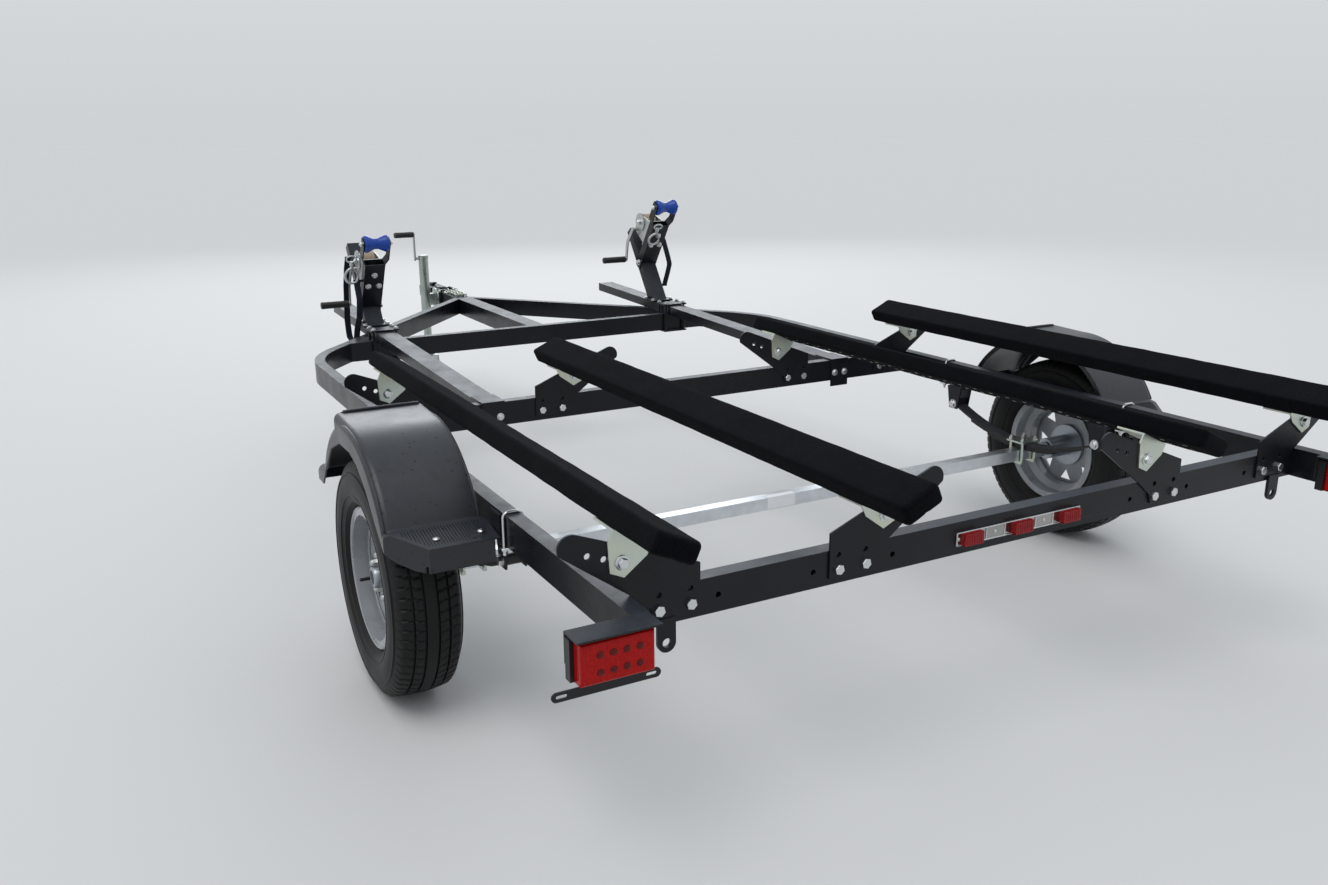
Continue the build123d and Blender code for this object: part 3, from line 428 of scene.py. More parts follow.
@dataclass(frozen=True)
class Carpet(Finish):
    """Short black bunk carpet with matted patches."""

    def dress(self, tree: ShaderTree, shader: bpy.types.Node) -> None:
        """Pile height and shade under a soft sheen.

        Args:
            tree: The material's tree.
            shader: Its Principled shader.
        """
        pile = tree.effect(Pile)
        body = tree.mix(pile["Shade"], self.color, self.second)
        dust = tree.effect(Dust, Amount=self.dust)["Mask"]
        tree.put(shader.inputs["Base Color"], tree.mix(dust, body, self.dust_and_sheen_color))
        tree.bump(shader, self.bump, pile["Height"], depth=0.002)


@dataclass(frozen=True)
class Webbing(Finish):
    """Flat woven strap: ribs along it, crossed by the fine pitch of the weave."""

    def dress(self, tree: ShaderTree, shader: bpy.types.Node) -> None:
        """Dark yarns with lighter tops.

        Args:
            tree: The material's tree.
            shader: Its Principled shader.
        """
        height = tree.effect(Weave, Pitch=self.fine)["Height"]
        faded = tree.math("MULTIPLY", tree.effect(Grain, Coarse=self.coarse)["Mottle"], 0.3)
        yarn = tree.mix(height, self.color, self.second)
        tree.put(shader.inputs["Base Color"], tree.mix(faded, yarn, self.worn))
        tree.bump(shader, self.bump, height)


@dataclass(frozen=True)
class Moulded(Finish):
    """Satin moulded plastic with a few dark drops on it."""

    drop: Color = (0.0015, 0.0018, 0.0024)

    def over(self, tree: ShaderTree, coat: bpy.types.NodeSocket) -> bpy.types.NodeSocket:
        """Sparse drops on the coat."""
        return tree.mix(tree.effect(Drops)["Mask"], coat, self.drop)


@dataclass(frozen=True)
class Lens(Finish):
    """Clear coloured plastic over a prism pattern, with a faint painted glow of its own colour."""

    edge: float = 0.002
    prisms: float = 260.0
    # Strength of the painted glow: the lens gives off a little light of its own colour.
    painted_glow: float = 0.07

    def dress(self, tree: ShaderTree, shader: bpy.types.Node) -> None:
        """Glossy tinted plastic with small prisms seen under its skin, and a faint painted glow of the same colour.

        Args:
            tree: The material's tree.
            shader: Its Principled shader.
        """
        prisms = tree.add("TexVoronoi", Vector=tree.where(), Scale=self.prisms).outputs["Distance"]
        body = tree.mix(tree.ramp(prisms, 0.1, 0.6), self.color, self.second)
        tree.put(shader.inputs["Base Color"], body)
        # Painted glow: the lens colour is also emitted, brightening the red plastic as if light passed through it.
        tree.put(shader.inputs["Emission Color"], body)
        shader.inputs["Emission Strength"].default_value = self.painted_glow
        tree.bump(shader, self.bump, prisms, Normal=tree.effect(EdgeWear, Radius=self.edge)["Normal"])


# Painted sheen: a pale blue-grey laid on faces that look up, standing in for sky light on the tops of dark
# finishes.
PAINTED_TOP_SHEEN = (0.080, 0.098, 0.124)
# The frame's up-facing layer is painted sheen.
FRAME_PAINT = Finish(
    "frame_paint", (0.0045, 0.0052, 0.0075), (0.0068, 0.0077, 0.0105), 0.30,
    wear=0.12, specular=0.27, dust=0.65, dust_and_sheen_color=PAINTED_TOP_SHEEN,
)
ZINC = Finish(
    "zinc", (0.53, 0.595, 0.56), (0.64, 0.66, 0.53), 0.34, Metal.BARE,
    wear=0.2, worn=(0.78, 0.78, 0.76), bump=0.06, coarse=17.0,
)
BOLT_ZINC = Finish(
    "bolt_zinc", (0.60, 0.62, 0.63), (0.72, 0.73, 0.72), 0.26, Metal.BARE, wear=0.2, edge=0.0008, slot="zinc"
)
JACK_ZINC = Finish(
    "jack_zinc", (0.33, 0.38, 0.355), (0.43, 0.47, 0.43), 0.30, Metal.BARE, wear=0.3, coarse=14.0, slot="zinc"
)
# Painted reflection: the polished bar's steel colour is darkened to show the dark reflections in its face.
POLISHED_PAINTED_DARK = Finish("polished_steel_dark_reflection", (0.33, 0.33, 0.32), (0.40, 0.39, 0.37), 0.14, Metal.BARE, wear=0.1, bump=0.02)
GALVANISED = Finish(
    "galvanised", (0.62, 0.65, 0.68), (0.74, 0.77, 0.80), 0.34, Metal.BARE,
    wear=0.1, fine=300.0, coarse=28.0, bump=0.08,
)
# The springs' up-facing layer is painted sheen.
SPRING_STEEL = Finish(
    "spring_steel", (0.010, 0.010, 0.011), (0.018, 0.017, 0.016), 0.42,
    wear=0.3, specular=0.35, dust=0.4, dust_and_sheen_color=PAINTED_TOP_SHEEN,
)
HUB_PAINT = Finish("hub_paint", (0.30, 0.33, 0.36), (0.38, 0.41, 0.44), 0.30, Metal.BARE, wear=0.2)
WHEEL_SILVER = Finish(
    "wheel_silver", (0.26, 0.275, 0.295), (0.33, 0.345, 0.365), 0.27, wear=0.15, edge=0.003, coat=0.6
)
TYRE = Finish(
    "tyre", (0.0045, 0.0045, 0.0050), (0.0085, 0.0085, 0.0085), 0.48,
    wear=0.1, worn=(0.02, 0.02, 0.02), dust=0.05, specular=0.22,
)
# The fender's up-facing layer is painted sheen.
FENDER = Moulded(
    "fender_plastic", (0.0085, 0.0100, 0.0135), (0.0120, 0.0138, 0.0180), 0.30,
    wear=0.08, edge=0.006, bump=0.06, dust=0.25, dust_and_sheen_color=PAINTED_TOP_SHEEN, specular=0.5,
)
# The lamp housing's up-facing layer is painted sheen.
LAMP_HOUSING = Finish(
    "lamp_housing", (0.006, 0.006, 0.007), (0.009, 0.009, 0.010), 0.38,
    wear=0.05, specular=0.36, dust=0.6, dust_and_sheen_color=PAINTED_TOP_SHEEN,
)
RED_LENS = Lens("red_lens", (0.20, 0.0010, 0.0010), (0.36, 0.0025, 0.0022), 0.14, bump=0.25, specular=0.18)
LENS_DOME = Lens(
    "lens_dome", (0.030, 0.0008, 0.0008), (0.10, 0.0015, 0.0015), 0.10, bump=0.1, specular=0.25, slot="red_lens"
)
DARK_RED_LENS = Lens("dark_red_lens", (0.11, 0.0015, 0.0030), (0.24, 0.0040, 0.0060), 0.12, bump=0.25, specular=0.3)
WINCH_ZINC = Finish("winch_zinc", (0.46, 0.48, 0.48), (0.57, 0.58, 0.56), 0.36, Metal.BARE, wear=0.25)
STRAP = Webbing(
    "strap_webbing", (0.004, 0.006, 0.014), (0.018, 0.023, 0.042), 0.8,
    worn=(0.02, 0.024, 0.034), fine=90.0, bump=0.6, sheen=0.1, specular=0.15,
)
ROLLER = Finish(
    "roller_blue", (0.003, 0.040, 0.26), (0.005, 0.055, 0.36), 0.24, wear=0.05, edge=0.002, specular=0.35, dust=0.05
)
CASTER = Finish(
    "caster_black", (0.007, 0.007, 0.008), (0.012, 0.012, 0.013), 0.45,
    wear=0.2, worn=(0.05, 0.05, 0.05), specular=0.35,
)
LABEL = Finish("label", (0.78, 0.79, 0.80), (0.86, 0.87, 0.88), 0.45, bump=0.02, wear=0.0, slot="galvanised")
ROLL_EDGE = Finish(
    "roll_edge", (0.30, 0.235, 0.165), (0.40, 0.32, 0.23), 0.85,
    bump=0.3, fine=500.0, dust=0.0, slot="strap_webbing",
)
CARPET = Carpet(
    "carpet", (0.0012, 0.0013, 0.0018), (0.0048, 0.0051, 0.0068), 0.97,
    bump=0.9, dust=0.03, sheen=0.03, specular=0.04, dust_and_sheen_color=(0.05, 0.05, 0.055),
)

SLOT_FINISHES = {
    finish.name: finish
    for finish in (
        FRAME_PAINT, ZINC, GALVANISED, SPRING_STEEL, HUB_PAINT, WHEEL_SILVER, TYRE, FENDER, LAMP_HOUSING,
        RED_LENS, DARK_RED_LENS, WINCH_ZINC, STRAP, ROLLER, CASTER, CARPET,
    )
}


@dataclass
class Studio:
    """Camera at the photograph's place, a pale floor and soft lamps."""

    lens: float = 30.55
    sensor: float = 36.0
    camera_at: Point = (-1.878, -3.945, 1.404)
    yaw: float = math.radians(28.57)
    pitch: float = math.radians(15.67)
    roll: float = -0.0077
    view_end: float = 300.0
    floor_half: float = 95.0
    floor_color: Color = (0.62, 0.62, 0.61)
    sky_low: Color = (0.42, 0.44, 0.47)
    sky_high: Color = (0.80, 0.84, 0.90)
    backdrop_low: Color = (0.617, 0.640, 0.658)
    backdrop_high: Color = (0.80, 0.83, 0.87)
    sun_strength: float = 0.9
    sun_angle: float = math.radians(38.0)
    sun_color: Color = (1.0, 0.985, 0.96)
    sun_way: Point = (0.30, 0.25, -1.0)
    panel_at: Point = (3.8, 9.8, 5.0)
    panel_aim: Point = (0.0, -0.5, 0.5)
    panel_size: Pair = (9.0, 4.5)
    panel_watts: float = 150.0
    panel_spread: float = math.radians(110.0)
    panel_color: Color = (0.93, 0.97, 1.0)

    def build(self) -> None:
        """Camera first, then floor, world and lamps."""
        bpy.context.scene.view_settings.view_transform = "Standard"
        self.camera()
        self.floor()
        self.world()
        self.lamps()

    def camera(self) -> None:
        """A camera with the photograph's place, turn and lens."""
        level = math.cos(self.pitch)
        ahead = Vector((math.sin(self.yaw) * level, math.cos(self.yaw) * level, -math.sin(self.pitch)))
        right = Vector((math.cos(self.yaw), -math.sin(self.yaw), 0.0))
        up = right.cross(ahead)
        across = right * math.cos(self.roll) + up * math.sin(self.roll)
        above = up * math.cos(self.roll) - right * math.sin(self.roll)
        data = bpy.data.cameras.new("photo_view")
        data.lens = self.lens
        data.sensor_width = self.sensor
        data.clip_end = self.view_end
        camera = shown("photo_view", data)
        turn = Matrix((across, above, -ahead)).transposed().to_4x4()
        camera.matrix_world = Matrix.Translation(self.camera_at) @ turn
        bpy.context.scene.camera = camera

    def floor(self) -> None:
        """One wide plain floor."""
        half = self.floor_half
        mesh = bpy.data.meshes.new("floor")
        corners = [(-half, -half, 0), (half, -half, 0), (half, half, 0), (-half, half, 0)]
        mesh.from_pydata(corners, [], [(0, 1, 2, 3)])
        made = bpy.data.materials.new("floor")
        made.use_nodes = True
        tree = ShaderTree(made.node_tree)
        shader = tree.add("BsdfPrincipled", Base_Color=self.floor_color, Roughness=0.9)
        patches = tree.add("TexNoise", Vector=tree.where(), Scale=60.0, Detail=6.0)
        tree.bump(shader, 0.08, patches.outputs["Fac"], depth=0.002)
        tree.add("OutputMaterial", Surface=shader.outputs["BSDF"])
        mesh.materials.append(made)
        shown("floor", mesh)

    def world(self) -> None:
        """A sky that is brighter overhead; the camera sees the floor's own pale tone behind the trailer."""
        world = bpy.data.worlds.new("studio")
        world.use_nodes = True
        tree = ShaderTree(world.node_tree)
        height = tree.add("SeparateXYZ", Vector=tree.add("TexCoord").outputs["Generated"]).outputs["Z"]
        sky = tree.mix(tree.ramp(height, 0.0, 0.85), self.sky_low, self.sky_high)
        backdrop = tree.mix(tree.ramp(height, 0.0, 0.45), self.backdrop_low, self.backdrop_high)
        path = tree.add("LightPath")
        seen = tree.math("MAXIMUM", path.outputs["Is Camera Ray"], path.outputs["Is Glossy Ray"])
        seen = tree.math("MAXIMUM", seen, path.outputs["Is Transmission Ray"])
        light = tree.add("Background", Color=tree.mix(seen, sky, backdrop), Strength=1.0)
        tree.add("OutputWorld", Surface=light.outputs["Background"])
        bpy.context.scene.world = world

    def lamps(self) -> None:
        """A broad soft sun to the camera's left, and a panel beyond the trailer for sheen on what faces up."""
        sun = bpy.data.lights.new("soft_sun", "SUN")
        sun.energy = self.sun_strength
        sun.angle = self.sun_angle
        sun.color = self.sun_color
        self.aim(shown("soft_sun", sun), Vector(self.sun_way))
        sheet = bpy.data.lights.new("sheen_panel", "AREA")
        sheet.shape = "RECTANGLE"
        sheet.size, sheet.size_y = self.panel_size
        sheet.energy = self.panel_watts
        sheet.color = self.panel_color
        sheet.spread = self.panel_spread
        panel = shown("sheen_panel", sheet)
        panel.location = self.panel_at
        panel.visible_camera = False
        self.aim(panel, Vector(self.panel_aim) - Vector(self.panel_at))

    def aim(self, lamp: bpy.types.Object, way: Vector) -> None:
        """Turn a lamp so that it shines along a way."""
        lamp.rotation_mode = "QUATERNION"
        lamp.rotation_quaternion = way.to_track_quat("-Z", "Y")


# The light bar takes the darkened polished steel, with its dark reflections painted in.
NODE_FINISHES = {
    "jack_tube": JACK_ZINC, "jack_leg": JACK_ZINC, "caster_fork": JACK_ZINC, "id_light_bar": POLISHED_PAINTED_DARK,
}


@dataclass
class CadDressing:
    """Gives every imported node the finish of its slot, or its own variant of it."""

    def build(self) -> None:
        """Replace each node's material."""
        for row in frame["record"]["subparts"]:
            node = frame["nodes"][row["node"]]
            finish = NODE_FINISHES.get(row["node"], SLOT_FINISHES[row["material_slot"]])
            node.data.materials.clear()
            node.data.materials.append(finish.material())
            log.info("node %s has finish %s", row["node"], row["material_slot"])


REAR_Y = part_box("crossmember_rear")[0].y
FRAME_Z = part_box("crossmember_rear")[0].z
MID_CROSS_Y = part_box("crossmember_mid")[0].y - REAR_Y
FRONT_CROSS_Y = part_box("crossmember_front")[0].y - REAR_Y
CROSS_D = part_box("crossmember_mid")[1].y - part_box("crossmember_mid")[0].y
TUBE_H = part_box("crossmember_rear")[1].z - FRAME_Z
PLATE_T = 0.005
UP = Vector((0.0, 0.0, 1.0))
DOWN = -UP
AHEAD = Vector((0.0, 1.0, 0.0))
BEHIND = -AHEAD
RIGHTWARD = Vector((1.0, 0.0, 0.0))
LEFTWARD = -RIGHTWARD
KEEL_X = 0.685
M8, M10, M12, M14 = 0.013, 0.017, 0.019, 0.022  # widths across the flats of bolts and nuts
CORNERS = ((1, 1), (-1, 1), (-1, -1), (1, -1))


def spot(x: float, y: float, z: float) -> Vector:
    """A place given across, ahead of the rear crossmember and above the frame's underside."""
    return Vector((x, REAR_Y + y, FRAME_Z + z))


def spoke(angle: float) -> Vector:
    """A direction across an axle: 0 points ahead, and a quarter turn points up."""
    return Vector((0.0, math.cos(angle), math.sin(angle)))


class Fastener(Enum):
    """Head shapes: sides of the head and its profile as (radius, height) shares of its size."""

    HEX = (6, ((0.5, 0.0), (0.577, 0.02), (0.577, 0.36), (0.52, 0.42)))
    NUT = (6, ((0.5, 0.0), (0.577, 0.03), (0.577, 0.42), (0.5, 0.47), (0.30, 0.47), (0.30, 0.66), (0.26, 0.70)))
    DOME = (20, ((0.5, 0.0), (0.5, 0.05), (0.44, 0.15), (0.30, 0.23), (0.12, 0.27)))
    WASHER = (24, ((0.48, 0.0), (0.5, 0.01), (0.5, 0.06), (0.48, 0.07)))


class Shaper:
    """Gathers closed forms in one mesh, then makes one riding piece of them."""

    def __init__(self) -> None:
        """Start with no points and no faces."""
        self.points: list[Vector] = []
        self.faces: list[tuple[int, ...]] = []

    def rings(self, rings: Sequence[Sequence[Vector]], wrap: bool = False) -> None:
        """Join closed rings of points in order.

        Args:
            rings: Rings with the same count of points.
            wrap: Join the last ring to the first in place of capping both ends.
        """
        start = len(self.points)
        size = len(rings[0])
        for ring in rings:
            self.points.extend(ring)
        joins = len(rings) if wrap else len(rings) - 1
        for row in range(joins):
            low = start + row * size
            high = start + ((row + 1) % len(rings)) * size
            for i in range(size):
                after = (i + 1) % size
                self.faces.append((low + i, low + after, high + after, high + i))
        if not wrap:
            last = start + (len(rings) - 1) * size
            self.faces.append(tuple(range(start + size - 1, start - 1, -1)))
            self.faces.append(tuple(range(last, last + size)))

    def turned(
        self, at: Vector, axis: Vector, profile: Sequence[Pair], steps: int = 32, wrap: bool = False
    ) -> None:
        """Turn a profile about an axis.

        Args:
            at: Foot of the axis.
            axis: Its direction.
            profile: (radius, height) points.
            steps: Points around.
            wrap: The profile is a loop that leaves the middle open.
        """
        along = axis.normalized()
        first = along.orthogonal().normalized()
        second = along.cross(first)
        circle = [FULL_TURN * i / steps for i in range(steps)]
        self.rings(
            [
                [at + along * height + (first * math.cos(a) + second * math.sin(a)) * radius for a in circle]
                for radius, height in profile
            ],
            wrap,
        )

    def tube(self, path: Sequence[Vector], radius: float, sides: int = 12, wrap: bool = False) -> None:
        """A round bar along a path.

        Args:
            path: Its points.
            radius: Its radius.
            sides: Points around.
            wrap: The path is a closed loop.
        """
        count = len(path)
        rings = []
        side = None
        for i, point in enumerate(path):
            before = path[i - 1] if wrap or i > 0 else point
            after = path[(i + 1) % count] if wrap or i < count - 1 else point
            way = (after - before).normalized()
            side = way.orthogonal().normalized() if side is None else (side - way * side.dot(way)).normalized()
            other = way.cross(side)
            turns = [FULL_TURN * k / sides for k in range(sides)]
            rings.append([point + (side * math.cos(a) + other * math.sin(a)) * radius for a in turns])
        self.rings(rings, wrap)

    def slab(self, middle: Vector, a: Vector, b: Vector, c: Vector, chamfer: float = 0.0) -> None:
        """A box with chamfered edges.

        Args:
            middle: Its middle.
            a: Half its first side.
            b: Half its second side.
            c: Half its third side.
            chamfer: How much the edges are cut.
        """
        cut_a = a.normalized() * chamfer
        cut_b = b.normalized() * chamfer
        cut_c = c.normalized() * chamfer

        def ring(inset: float, level: Vector) -> list[Vector]:
            """Eight-sided section at a level.

            Args:
                inset: How many chamfers it is drawn in.
                level: Its place along the third side.

            Returns:
                The section's points.
            """
            wide = a - cut_a * inset
            deep = b - cut_b * inset
            points = []
            for i, (p, q) in enumerate(CORNERS):
                near = middle + level + wide * p + deep * q
                first, second = near - cut_a * p, near - cut_b * q
                points.extend((second, first) if i % 2 == 0 else (first, second))
            return points

        if chamfer:
            self.rings([ring(1, -c), ring(0, cut_c - c), ring(0, c - cut_c), ring(1, c)])
        else:
            self.rings([[middle + level + a * p + b * q for p, q in CORNERS] for level in (-c, c)])

    def fastener(self, kind: Fastener, at: Vector, axis: Vector, size: float) -> None:
        """One bolt head, nut, dome or washer, by its foot, the way it stands and its width."""
        steps, shares = kind.value
        self.turned(at, axis, [(radius * size, height * size) for radius, height in shares], steps)

    def bolt(self, at: Vector, axis: Vector, size: float) -> None:
        """A hex head on its washer, by its foot, the way it stands and the head's width."""
        self.fastener(Fastener.WASHER, at, axis, size * 1.45)
        self.fastener(Fastener.HEX, at + axis.normalized() * size * 0.1, axis, size)

    def piece(self, name: str, finish: Finish, body: str = "frame", sharp: float = 32.0) -> bpy.types.Object:
        """Make the gathered forms one piece that rides on a body.

        Args:
            name: The piece's name.
            finish: Its finish.
            body: The body that it rides on.
            sharp: Angle in degrees over which an edge stays sharp.

        Returns:
            The new object.
        """
        mesh = bpy.data.meshes.new(name)
        mesh.from_pydata([tuple(p) for p in self.points], [], self.faces)
        work = bmesh.new()
        work.from_mesh(mesh)
        bmesh.ops.recalc_face_normals(work, faces=work.faces)
        work.to_mesh(mesh)
        work.free()
        mesh.shade_smooth()
        mesh.set_sharp_from_angle(angle=math.radians(sharp))
        mesh.materials.append(finish.material())
        made = shown(name, mesh)
        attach(made, body)
        log.info("piece %s rides on %s with %d faces", name, body, len(self.faces))
        return made


def curve_through(points: Sequence[Vector], steps: int = 6) -> list[Vector]:
    """Smooth points through given ones.

    Args:
        points: The points to pass through.
        steps: Points on each stretch.

    Returns:
        The denser list of points.
    """
    ends = [points[0] * 2 - points[1], *points, points[-1] * 2 - points[-2]]
    smooth = []
    for i in range(1, len(ends) - 2):
        a, b, c, d = ends[i - 1 : i + 3]
        for step in range(steps):
            t = step / steps
            smooth.append(
                0.5 * (2 * b + (c - a) * t + (2 * a - 5 * b + 4 * c - d) * t * t + (3 * b - 3 * c + d - a) * t**3)
            )
    smooth.append(points[-1])
    return smooth


@dataclass
class Bunks:
    """Boards wrapped in carpet, with folded ends and staples under them."""

    width: float = 0.097
    depth: float = 0.046
    tilt: float = math.radians(25.0)
    corner: float = 0.009
    end_round: float = 0.015
    end_squash: float = 0.6
    end_steps: int = 6
    stations: int = 90
    corner_steps: int = 5
    edge_steps: int = 6
    ripple: float = 0.0011
    ripple_scales: Pair = (14.0, 55.0)
    fine_share: float = 0.35
    seam_half: float = 0.004
    seam_depth: float = 0.0016
    staple_pitch: float = 0.062
    staple_x: float = 0.016
    staple: tuple[float, float, float] = (0.0007, 0.006, 0.0006)

    def section(self, inset: float) -> list[Pair]:
        """Rounded rectangle as (across, up) points.

        Args:
            inset: How far it is drawn in.

        Returns:
            The section's points in order.
        """
        half_w = self.width / 2 - inset
        half_d = self.depth / 2 - inset
        corners = []
        for k, (p, q) in enumerate(CORNERS):
            for j in range(self.corner_steps + 1):
                angle = QUARTER_TURN * (k + j / self.corner_steps)
                u = p * (half_w - self.corner) + self.corner * math.cos(angle)
                v = q * (half_d - self.corner) + self.corner * math.sin(angle)
                corners.append((u, v))
        points = []
        for i, point in enumerate(corners):
            points.append(point)
            if i % (self.corner_steps + 1) == self.corner_steps:
                after = corners[(i + 1) % len(corners)]
                for j in range(1, self.edge_steps):
                    t = j / self.edge_steps
                    points.append((point[0] + (after[0] - point[0]) * t, point[1] + (after[1] - point[1]) * t))
        return points

    def lengths(self, low: float, high: float) -> list[Pair]:
        """Stations along a bunk: rounded ends and an even middle.

        Args:
            low: Where the bunk starts.
            high: Where it ends.

        Returns:
            Each station's place and how far its section is drawn in.
        """
        turns = [QUARTER_TURN * i / self.end_steps for i in range(self.end_steps)]
        start = [
            (low + self.end_round * (1 - math.cos(a)), self.end_round * self.end_squash * (1 - math.sin(a)))
            for a in turns
        ]
        run = high - low - 2 * self.end_round
        middle = [(low + self.end_round + run * i / self.stations, 0.0) for i in range(self.stations + 1)]
        finish = [(low + high - y, inset) for y, inset in reversed(start)]
        return start + middle + finish

    def build(self) -> None:
        """Wrap and staple the four bunks."""
        for side in Side:
            for place, way in (("outer", 1), ("inner", -1)):
                self.wrap(f"bunk_{place}_{side.word}", side.value * way * self.tilt)

    def wrap(self, node: str, lean: float) -> None:
        """Carpet around one board.

        Args:
            node: The board's node.
            lean: How far it leans about the trailer's length.
        """
        low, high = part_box(node)
        middle = (low + high) / 2
        across = Vector((math.cos(lean), 0.0, math.sin(lean)))
        above = Vector((-math.sin(lean), 0.0, math.cos(lean)))
        slow, quick = self.ripple_scales
        shape = Shaper()
        rings = []
        for y, inset in self.lengths(low.y, high.y):
            ring = []
            for u, v in self.section(inset):
                point = Vector((middle.x, y, middle.z)) + across * u + above * v
                swell = noise.noise(point * slow) * self.ripple
                swell += noise.noise(point * quick) * self.ripple * self.fine_share
                if v < 0 and abs(u) < self.seam_half:
                    swell -= self.seam_depth
                outward = (across * (u / self.width) + above * (v / self.depth)).normalized()
                ring.append(point + outward * swell)
            rings.append(ring)
        shape.rings(rings)
        wrap = shape.piece(f"carpet_{node}", CARPET)
        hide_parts(node)
        staples = Shaper()
        wide, long, high_half = self.staple
        under = middle - above * (self.depth / 2 + high_half)
        count = int((high.y - low.y) / self.staple_pitch)
        for i in range(1, count):
            y = low.y + (high.y - low.y) * i / count
            for u in (-self.staple_x, self.staple_x):
                at = Vector((under.x, y, under.z)) + across * u
                staples.slab(at, across * wide, AHEAD * long, above * high_half)
        staples.piece(f"staples_{node}", ZINC)


@dataclass
class RoadWheel:
    """Treaded tyre, lug nuts, valve and hub cap of one road wheel."""

    side: Side
    pitches: int = 72
    samples: int = 6
    groove: float = 0.0065
    groove_x: Pair = (0.005, 0.001)
    sipe: float = 0.0042
    sipe_pitch: float = 0.022
    rib_steps: int = 4
    crown_drop: float = 0.007
    half_tread: float = 0.068
    sipe_reach: float = 0.285
    disc_face: float = 0.028
    lug_circle: float = 0.05715
    lug_height: float = 0.0150
    valve_angle: float = math.radians(-22.5)
    valve_r: float = 0.134
    valve_x: float = 0.024
    valve_lean: float = 0.35
    # radius, place across the rim and wire of its two rolled rings
    rolled: tuple[Point, ...] = ((0.1802, 0.0668, 0.0030), (0.1405, 0.0300, 0.0022))
    ribs: Pairs = ((0.0, 0.013), (0.019, 0.040), (0.046, 0.067))
    # (x, radius) down the sidewall, from the shoulder to the bead
    wall: Pairs = (
        (0.0715, 0.2975), (0.0765, 0.2890), (0.0800, 0.2800), (0.0822, 0.2735), (0.0858, 0.2722), (0.0862, 0.2680),
        (0.0842, 0.2664), (0.0862, 0.2580), (0.0876, 0.2500), (0.0884, 0.2395), (0.0876, 0.2280), (0.0854, 0.2170),
        (0.0866, 0.2156), (0.0862, 0.2128), (0.0838, 0.2118), (0.0812, 0.2040), (0.0788, 0.1990), (0.0790, 0.1968),
        (0.0745, 0.1940), (0.0690, 0.1890), (0.0625, 0.1850), (0.0640, 0.1760), (0.0630, 0.1656),
    )

    def build(self) -> None:
        """Tyre first, then what is on the disc."""
        self.body = f"wheel_{self.side.word}"
        low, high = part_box(f"tyre_{self.side.word}")
        self.middle = (low + high) / 2
        self.out_r = (high.z - low.z) / 2
        self.outward = RIGHTWARD * self.side.value
        self.tyre()
        self.lugs()
        self.cap()

    def tread(self) -> list[tuple[float, float, bool]]:
        """Half of the tread, from the tyre's middle to its shoulder.

        Returns:
            Each point's x, its depth under the crown and whether sipes cut it.
        """
        points = []
        for start, end in self.ribs:
            if start:
                points += [(start - back, self.groove, False) for back in self.groove_x]
            steps = self.rib_steps
            points += [(start + (end - start) * i / steps, 0.0, start > 0) for i in range(steps + 1)]
        return points

    def tyre(self) -> None:
        """Tread blocks between grooves, shoulders, ribbed sidewalls and beads."""
        half = []
        for x, deep, cut in self.tread():
            crown = self.out_r - self.crown_drop * (x / self.half_tread) ** 2
            half.append((x, crown - deep, cut))
        half += [(x, radius, radius > self.sipe_reach) for x, radius in self.wall]
        section = [(-x, radius, cut) for x, radius, cut in reversed(half[1:])] + half
        count = self.pitches * self.samples
        rings = []
        for i in range(count):
            out = spoke(FULL_TURN * i / count)
            ring = []
            for x, radius, cut in section:
                lag = round(abs(x) / self.sipe_pitch) + (self.samples // 2 if x < 0 else 0)
                deep = self.sipe if cut and (i + lag) % self.samples == 0 else 0.0
                ring.append(self.middle + RIGHTWARD * x + out * (radius - deep))
            rings.append(ring)
        shape = Shaper()
        shape.rings(rings, wrap=True)
        made = shape.piece(f"treaded_tyre_{self.side.word}", TYRE, self.body)
        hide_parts(f"tyre_{self.side.word}")

    def lugs(self) -> None:
        """Five acorn nuts, the rim's two rolled rings and the valve."""
        nuts = Shaper()
        for k in range(5):
            out = spoke(QUARTER_TURN + FULL_TURN * k / 5)
            at = self.middle + out * self.lug_circle + self.outward * self.disc_face
            nuts.turned(at, self.outward, [(0.0125, 0.0), (0.0105, 0.003), (0.0105, 0.014), (0.0098, 0.0155)], 6)
            tip = [(0.0090, 0.0), (0.0084, 0.004), (0.0060, 0.007), (0.0020, 0.0088)]
            nuts.turned(at + self.outward * self.lug_height, self.outward, tip, 16)
        nuts.piece(f"lug_nuts_{self.side.word}", WINCH_ZINC, self.body)
        rings = Shaper()
        turns = [FULL_TURN * i / 10 for i in range(10)]
        for radius, offset, wire in self.rolled:
            loop = [(radius + wire * math.cos(a), wire * math.sin(a)) for a in turns]
            rings.turned(self.middle + self.outward * offset, self.outward, loop, 72, wrap=True)
        rings.piece(f"rim_rings_{self.side.word}", WHEEL_SILVER, self.body)
        self.valve()

    def valve(self) -> None:
        """Rubber stem and its cap, leaning out of the disc."""
        shape = Shaper()
        out = spoke(self.valve_angle)
        at = self.middle + out * self.valve_r + self.outward * self.valve_x
        way = (self.outward - out * self.valve_lean).normalized()
        stem = [(0.0080, 0.0), (0.0075, 0.006), (0.0052, 0.010), (0.0045, 0.030), (0.0040, 0.034)]
        shape.turned(at, way, stem, 16)
        shape.turned(at + way * 0.033, way, [(0.0040, 0.0), (0.0044, 0.002), (0.0044, 0.011), (0.0034, 0.013)], 14)
        shape.piece(f"valve_{self.side.word}", CASTER, self.body)

